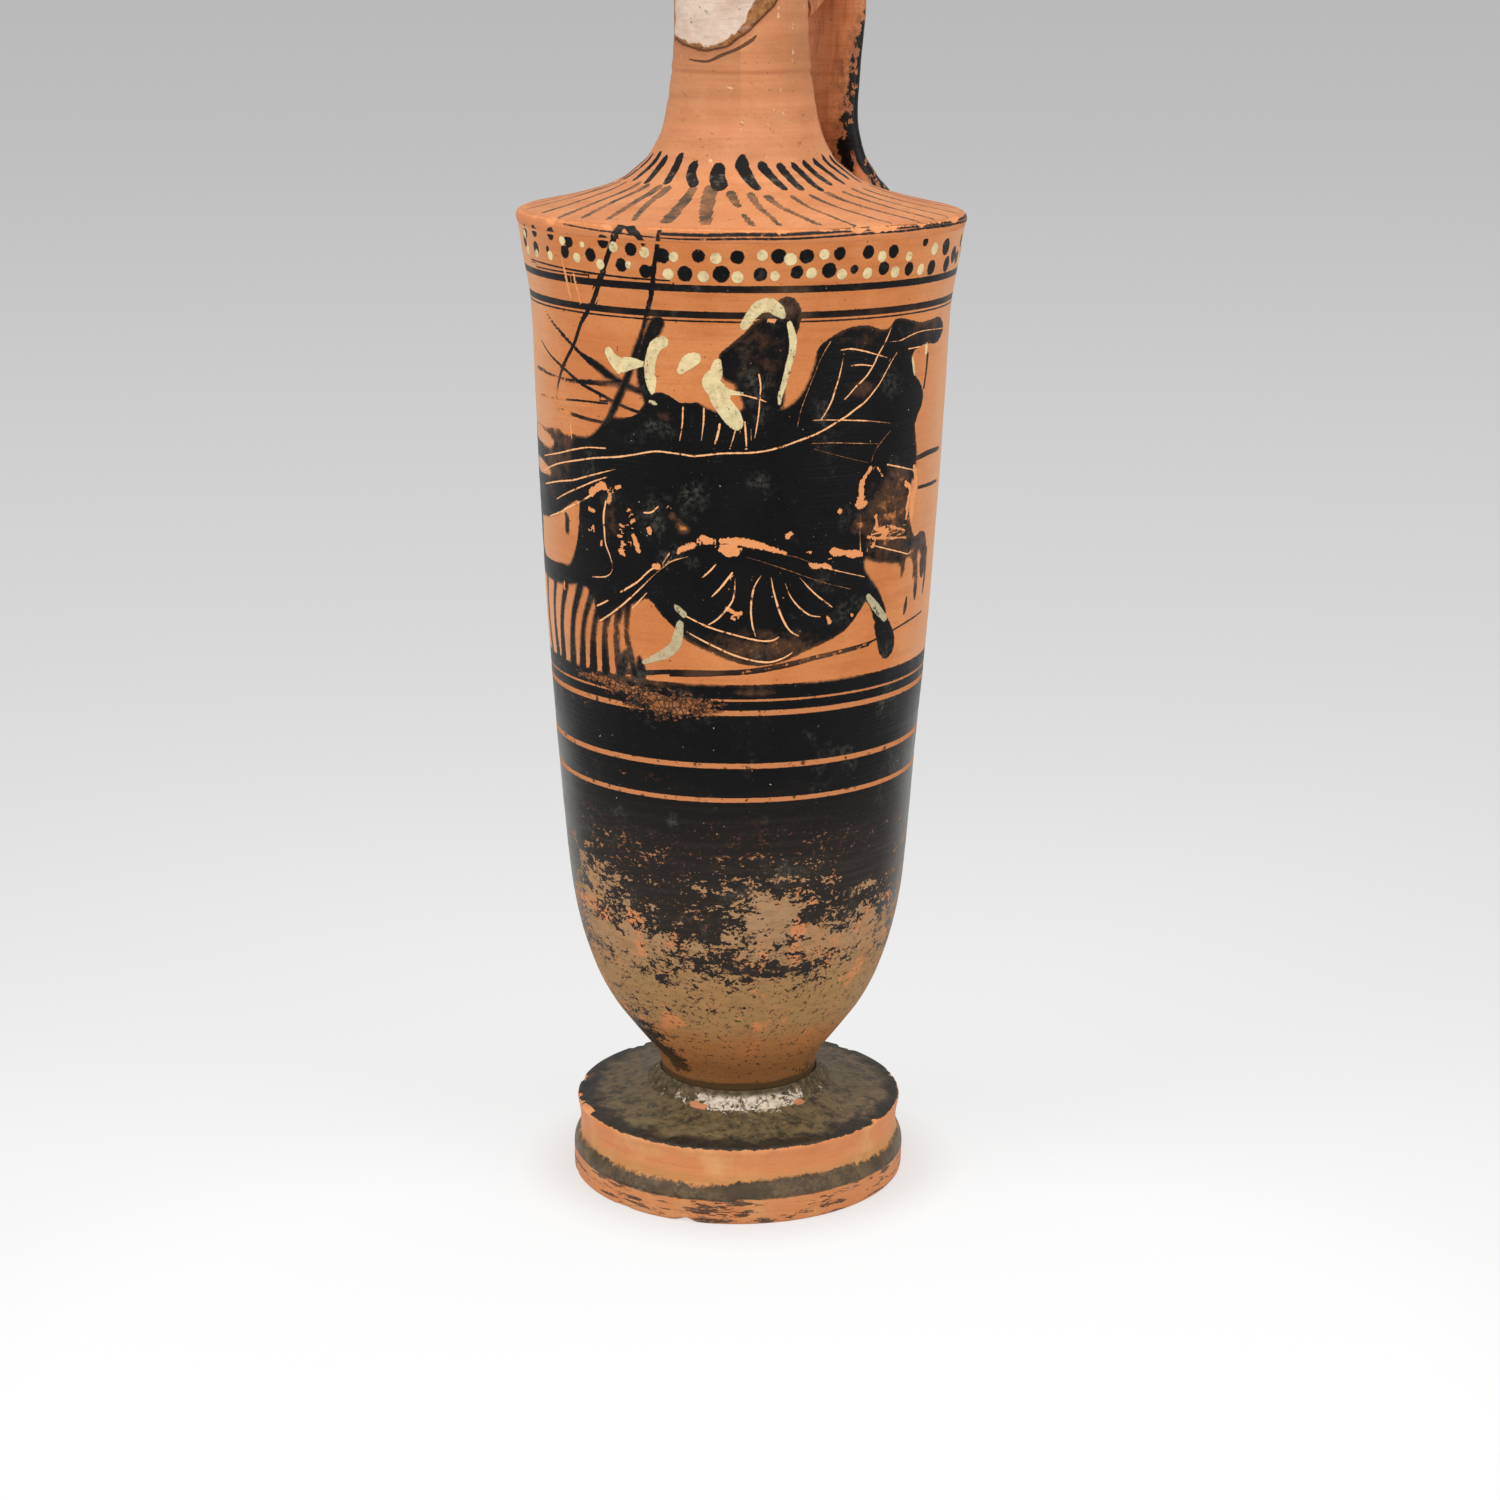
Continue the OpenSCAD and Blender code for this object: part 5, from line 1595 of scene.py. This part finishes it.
def reserved_clay():
    """Orange clay of foot and shoulder, with what slip and paint they carry."""
    look = ReservedLook("reserved_clay")
    black, rays = shoulder_paint(look)
    slip = look.without(look.most(black, foot_paint(look)), look.rub)
    colour = look.mix(rays, reserved_ground(look), "slip grey")
    colour = look.mix(slip, colour, reserved_slip(look))
    stain = look.patches(0.56, 0.74, 6.0, 5.0, 0.65, 45.0)
    colour = look.tint(colour, "stain", stain, look.level(look.on_foot, 0.12, 0.3))
    flaked = look.share(look.add_up(look.value("fresh"), look.times(look.ragged, 1.4)), 0.5, 0.58)
    colour = look.tint(colour, "clay flaked", flaked, look.on_foot)
    cream = look.share(look.add_up(look.value("cream"), look.times(look.ragged, 0.5)), -0.05, 0.1)
    colour = look.tint(colour, "cream", cream, look.side)
    smear = look.add_up(look.value("white"), look.wobble(3.2, 2.0, 5.0, 0.75, 46.0))
    white = look.share(smear, 0.58, 0.66)
    colour = look.tint(colour, "white smear", white, 0.75)
    roughness = look.add_up(look.level(slip, 0.58, 0.45), look.wobble(0.2, 2.5, 3.0, 0.6, 47.0))
    rubbed_depth = look.times(look.ragged, 0.12)
    bump = look.stack(clay_bump(look), (slip, 0.03), (look.rub, rubbed_depth), (white, 0.08))
    return look.finish(colour, roughness, bump, specular=0.2)


# ---------------------------------------------------------------- the other materials


def neck_clay():
    """The neck's clay, with a painted shade along the old break and a painted shade of the handle on its
    right side.
    """
    look = Look("neck_clay")
    ragged = look.wobble(0.6, 0.9, 3.0, 0.6, 50.0)
    colour = clay_colour(look, "neck clay", "neck pale", "neck deep")
    wash = look.patches(0.5, 0.72, 7.0, 5.0, 0.6, 52.0, squeeze=(1, 1, 0.6))
    colour = look.tint(colour, "neck wash", wash, 0.4)
    # painted shade of the handle on the neck's right side
    colour = look.tint(colour, "neck handle shade", look.value("dull"), 0.5)
    # soft bands that the potter's finger left
    band = look.patches(0.4, 0.62, 5.0, 3.0, 0.55, 57.0, squeeze=(0.05, 0.05, 1.0))
    colour = look.tint(colour, "finger band", band, 0.4)
    colour = look.tint(colour, "slope clay", look.share(look.height(), ROOT_Z + 3, ROOT_Z - 0.5))
    crack = look.value("crack")
    # painted shade beside the broken edge, and a dark painted shadow along its lip
    near = look.share(look.add_up(crack, look.times(ragged, 2.4)), 1.6, 0.0)
    colour = look.tint(colour, "break shade", near, 0.5)
    lip = look.share(look.add_up(crack, look.times(ragged, 0.5)), 0.42, 0.12)
    colour = look.tint(colour, "break lip shadow", lip, 0.85)
    split = stroke_cover(look, "line", look.times(ragged, 0.35), 0.06)
    colour = look.tint(colour, "crack", split, 0.85)
    flake = look.patches(0.66, 0.7, 2.2, 4.0, 0.6, 53.0)
    colour = look.tint(colour, "neck flake", flake, 0.6)
    colour = look.tint(colour, "grit", look.patches(0.68, 0.72, 1.2, 2.0, 0.6, 54.0), 0.5)
    black = look.share(look.add_up(look.value("black"), ragged), -0.08, 0.08)
    slip = slip_colour(look, look.times(look.noise(3.0, 3.0, 0.6, 51.0), 0.3), 0.0)
    colour = look.mix(black, colour, slip)
    roughness = look.add_up(0.62, look.wobble(0.2, 2.5, 3.0, 0.6, 55.0))
    bump = look.stack(clay_bump(look), (black, 0.03), (flake, -0.05), (split, -0.3), (lip, -0.15))
    return look.finish(colour, roughness, bump, specular=0.2)


def black_gloss():
    """The mouth: black slip with a reserved flat lip."""
    look = Look("black_gloss")
    clay = clay_colour(look, "clay", "clay pale", "clay deep")
    ragged = look.wobble(0.5, 1.2, 3.0, 0.6, 60.0)
    lip = look.share(look.add_up(look.value("lip"), ragged), 0.5, 0.6)
    rub = look.share(look.add_up(look.value("rub"), ragged), 0.35, 0.5)
    nicks = look.patches(0.71, 0.74, 1.6, 3.0, 0.6, 61.0)
    bare = look.most(lip, rub, look.times(nicks, 0.8))
    thin = look.times(look.patches(0.5, 0.8, 8.0, 4.0, 0.6, 62.0), 0.9)
    slip = slip_colour(look, thin, look.patches(0.4, 0.8, 4.0, 3.0, 0.6, 63.0))
    roughness = look.add_up(look.level(bare, 0.3, 0.6), look.wobble(0.2, 3.0, 3.0, 0.6, 64.0))
    bump = look.stack(look.times(clay_bump(look), 0.6), (bare, -0.05))
    return look.finish(look.mix(bare, slip, clay), roughness, bump, specular=0.3)


def handle_clay():
    """The strap: slip on its outer face, wiped clay on its inner face."""
    look = Look("handle_clay")
    clay = clay_colour(look, "strap clay", "strap pale", "strap deep")
    wipe = look.patches(0.45, 0.72, 1.6, 4.0, 0.65, 70.0, squeeze=(1, 1, 0.12))
    clay = look.tint(clay, "wiped", wipe, 0.45)
    ragged = look.wobble(7.0, 1.6, 5.0, 0.7, 71.0)
    gloss = look.value("gloss")
    start = look.share(look.add_up(look.value("along"), look.times(ragged, 0.02)), 0.12, 0.2)
    black = look.times(look.share(look.add_up(gloss, ragged), -0.1, 0.3), start)
    near = look.share(gloss, 6.0, 1.0)
    flakes = look.add_up(look.noise(1.7, 4.0, 0.65, 72.0, squeeze=(1, 1, 0.6)), look.times(near, 0.13))
    black = look.without(black, look.share(flakes, 0.64, 0.67))
    slip = slip_colour(look, look.times(look.noise(4.0, 3.0, 0.6, 73.0), 0.35), 0.1)
    clay = look.tint(clay, "soot", look.share(look.add_up(gloss, look.times(ragged, 1.6)), -3.5, 0.5), 0.55)
    roughness = look.add_up(look.level(black, 0.6, 0.34), look.wobble(0.2, 2.5, 3.0, 0.6, 74.0))
    bump = look.stack(clay_bump(look), (black, 0.04), (wipe, -0.05))
    return look.finish(look.mix(black, clay, slip), roughness, bump, specular=0.18)


def plaster():
    """Matt repair plaster with scrapes, stains and air holes."""
    look = Look("plaster")
    colour = look.mix(look.patches(0.35, 0.7, 5.0, 4.0, 0.6, 80.0), "plaster", "plaster grey")
    colour = look.tint(colour, "plaster warm", look.patches(0.52, 0.75, 2.6, 4.0, 0.65, 81.0), 0.5)
    # a brown, rough strip along the break
    torn = look.wobble(1.6, 1.0, 4.0, 0.65, 82.0)
    stain = look.share(look.add_up(look.value("stain"), torn), 0.15, -0.15)
    brown = look.mix(look.patches(0.35, 0.68, 1.3, 4.0, 0.7, 87.0), "break light", "break dark")
    colour = look.mix(stain, colour, brown)
    holes = look.patches(0.73, 0.77, 0.9, 1.0, 0.5, 83.0)
    colour = look.tint(colour, "hole", holes, 0.6)
    scrape = look.centred(0.9, 4.0, 0.65, 84.0, squeeze=(0.25, 0.25, 1.4))
    colour = look.tint(colour, "scrape", look.share(scrape, 0.05, 0.15), 0.4)
    rough_strip = look.times(stain, look.centred(0.6, 3.0, 0.7, 88.0))
    bump = look.stack(look.wobble(0.18, 1.6, 4.0, 0.6, 85.0), (scrape, 0.14), (holes, -0.12),
                      (rough_strip, 0.3))
    roughness = look.add_up(0.82, look.wobble(0.15, 1.5, 3.0, 0.6, 86.0))
    return look.finish(colour, roughness, bump, specular=0.2)


def foot_plaster():
    """Plaster at the foot: white at the front, elsewhere under dark dirt."""
    look = Look("foot_plaster")
    ragged = look.wobble(3.4, 2.0, 5.0, 0.75, 90.0)
    shown = look.share(look.add_up(look.times(look.value("white"), 0.75), ragged), 0.42, 0.5)
    grime = look.mix(look.patches(0.35, 0.7, 1.5, 4.0, 0.65, 91.0), "grime dark", "grime")
    white = look.mix(look.patches(0.4, 0.75, 1.2, 3.0, 0.6, 92.0), "white", "white grey")
    split = look.times(look.cracks(2.2, 0.09, 96.0), look.patches(0.4, 0.55, 2.0, 2.0, 0.5, 97.0))
    white = look.tint(white, "white crack", split, 0.85)
    colour = look.mix(look.without(shown, look.value("dirt")), grime, white)
    flaked = look.share(look.add_up(look.value("fresh"), look.times(ragged, 0.5)), 0.5, 0.58)
    colour = look.tint(colour, "clay flaked", flaked)
    bump = look.add_up(look.wobble(0.25, 1.2, 4.0, 0.6, 93.0),
                       look.wobble(0.06, 0.4, 3.0, 0.6, 94.0))
    roughness = look.add_up(0.8, look.wobble(0.15, 1.5, 3.0, 0.6, 95.0))
    return look.finish(colour, roughness, bump, specular=0.2)


# ---------------------------------------------------------------- the stage

# Painted brightness of the floor, a pool of light, in 8-bit sRGB, at distances in metres from a place just
# before the vase.
FLOOR_TONES = [(0.0, 247), (0.12, 245), (0.16, 239), (0.26, 230), (0.40, 219), (0.60, 212), (0.95, 209),
               (1.5, 206), (2.8, 202), (9.0, 196)]
FLOOR_REACH = 12.0     # radius of the floor
FLOOR_EVEN = 0.35      # power that spreads the near distances out over the ramp
POOL = 0.12            # how far before the vase the floor is brightest
FLOOR_SHADE = 0.25     # share of the floor that light and shadow fall on

# Softboxes: name, turn from the camera's side to the right, distance, height, width, tallness, power.
LIGHTS = [
    ("overhead", 20.0, 0.25, 1.5, 1.4, 1.4, 14.0), ("left", -62.0, 1.3, 0.75, 0.9, 1.3, 12.0),
    ("right", 58.0, 1.3, 0.6, 0.9, 1.3, 9.0), ("front", 0.0, 1.7, 0.6, 1.2, 0.9, 6.0),
]
AIM = (0, 0, 0.12)     # where the softboxes point

CAMERA_AWAY = 0.553
CAMERA_HEIGHT = 0.233
CAMERA_DOWN = 15.2     # degrees below the level
CAMERA_TURN = -0.2     # degrees aside from the axis of the vase
LENS = 72.9
SENSOR = 36


def flat(look, colour, strength, diffuse):
    """A surface that mostly glows by itself, so that only a faint shadow falls on it."""
    glow = look.add("ShaderNodeEmission", {"Color": colour, "Strength": strength})
    cloth = look.add("ShaderNodeBsdfDiffuse", {"Color": colour})
    both = look.add("ShaderNodeMixShader", {0: diffuse, 1: glow.outputs[0], 2: cloth.outputs[0]})
    look.add("ShaderNodeOutputMaterial", {0: both.outputs[0]})
    return look.material


def floor_ramp(look, share):
    """The floor's tone at each share of its ramp."""
    ramp = look.add("ShaderNodeValToRGB", {0: share})
    ramp.color_ramp.interpolation = "B_SPLINE"
    stops = ramp.color_ramp.elements
    while len(stops) < len(FLOOR_TONES):
        stops.new(0.5)
    for stop, (distance, grey) in zip(stops, FLOOR_TONES):
        stop.position = (distance / FLOOR_REACH) ** FLOOR_EVEN
        stop.color = rgb(grey, grey, grey)
    return ramp.outputs[0]


def make_floor():
    """A pale floor that mostly glows, with a painted pool of light around the vase and a faint painted shadow
    under its foot.
    """
    bpy.ops.mesh.primitive_circle_add(vertices=96, radius=FLOOR_REACH, fill_type="NGON")
    floor = bpy.context.object
    floor.name = "floor"
    look = Look("floor")
    polar = math.radians(FRONT)
    pool = (POOL * math.cos(polar), POOL * math.sin(polar), 0.0)
    away = look.add("ShaderNodeVectorMath", {0: look.place, 1: pool}, operation="DISTANCE").outputs["Value"]
    even = look.calc("POWER", look.times(away, 1 / FLOOR_REACH), FLOOR_EVEN)
    # painted shadow on the floor around the foot
    under = look.share(look.from_axis(), 45.0, 31.0)
    colour = look.tint(floor_ramp(look, even), "painted contact shadow", under, 0.5)
    floor.data.materials.append(flat(look, colour, 1.0, FLOOR_SHADE))


def make_world():
    """Even grey light from all sides."""
    world = bpy.data.worlds.new("studio")
    bpy.context.scene.world = world
    world.use_nodes = True
    backdrop = world.node_tree.nodes["Background"]
    backdrop.inputs["Color"].default_value = tone("backdrop")
    backdrop.inputs["Strength"].default_value = 1.0


def add_light(name, turn, away, height, wide, tall, power):
    """A softbox that faces the vase."""
    light = bpy.data.lights.new(name, "AREA")
    light.shape = "RECTANGLE"
    light.size = wide
    light.size_y = tall
    light.energy = power
    box = bpy.data.objects.new(name, light)
    bpy.context.scene.collection.objects.link(box)
    box.visible_camera = False
    box.location = to_xyz(turn, away, height)
    box.rotation_euler = (Vector(AIM) - box.location).to_track_quat("-Z", "Y").to_euler()


def add_camera():
    """A camera before the vase that looks down on it a little."""
    camera = bpy.data.cameras.new("camera")
    camera.lens = LENS
    camera.sensor_width = SENSOR
    camera.clip_end = 50
    holder = bpy.data.objects.new("camera", camera)
    bpy.context.scene.collection.objects.link(holder)
    holder.location = to_xyz(0.0, CAMERA_AWAY, CAMERA_HEIGHT)
    holder.rotation_euler = (math.radians(90 - CAMERA_DOWN), 0, math.radians(FRONT + 90 + CAMERA_TURN))
    bpy.context.scene.camera = holder


# ---------------------------------------------------------------- the whole scene

add_camera()
make_world()
make_floor()
for settings in LIGHTS:
    add_light(*settings)
bpy.context.scene.view_settings.view_transform = "Standard"

looks = {
    make_body: painted_body, make_shoulder: reserved_clay, make_neck: neck_clay, make_neck_fill: plaster,
    make_mouth: black_gloss, make_handle: handle_clay, make_foot: reserved_clay,
    make_foot_fill: foot_plaster,
}
made = {}
for make, look in looks.items():
    if look not in made:
        made[look] = look()
    make().data.materials.append(made[look])
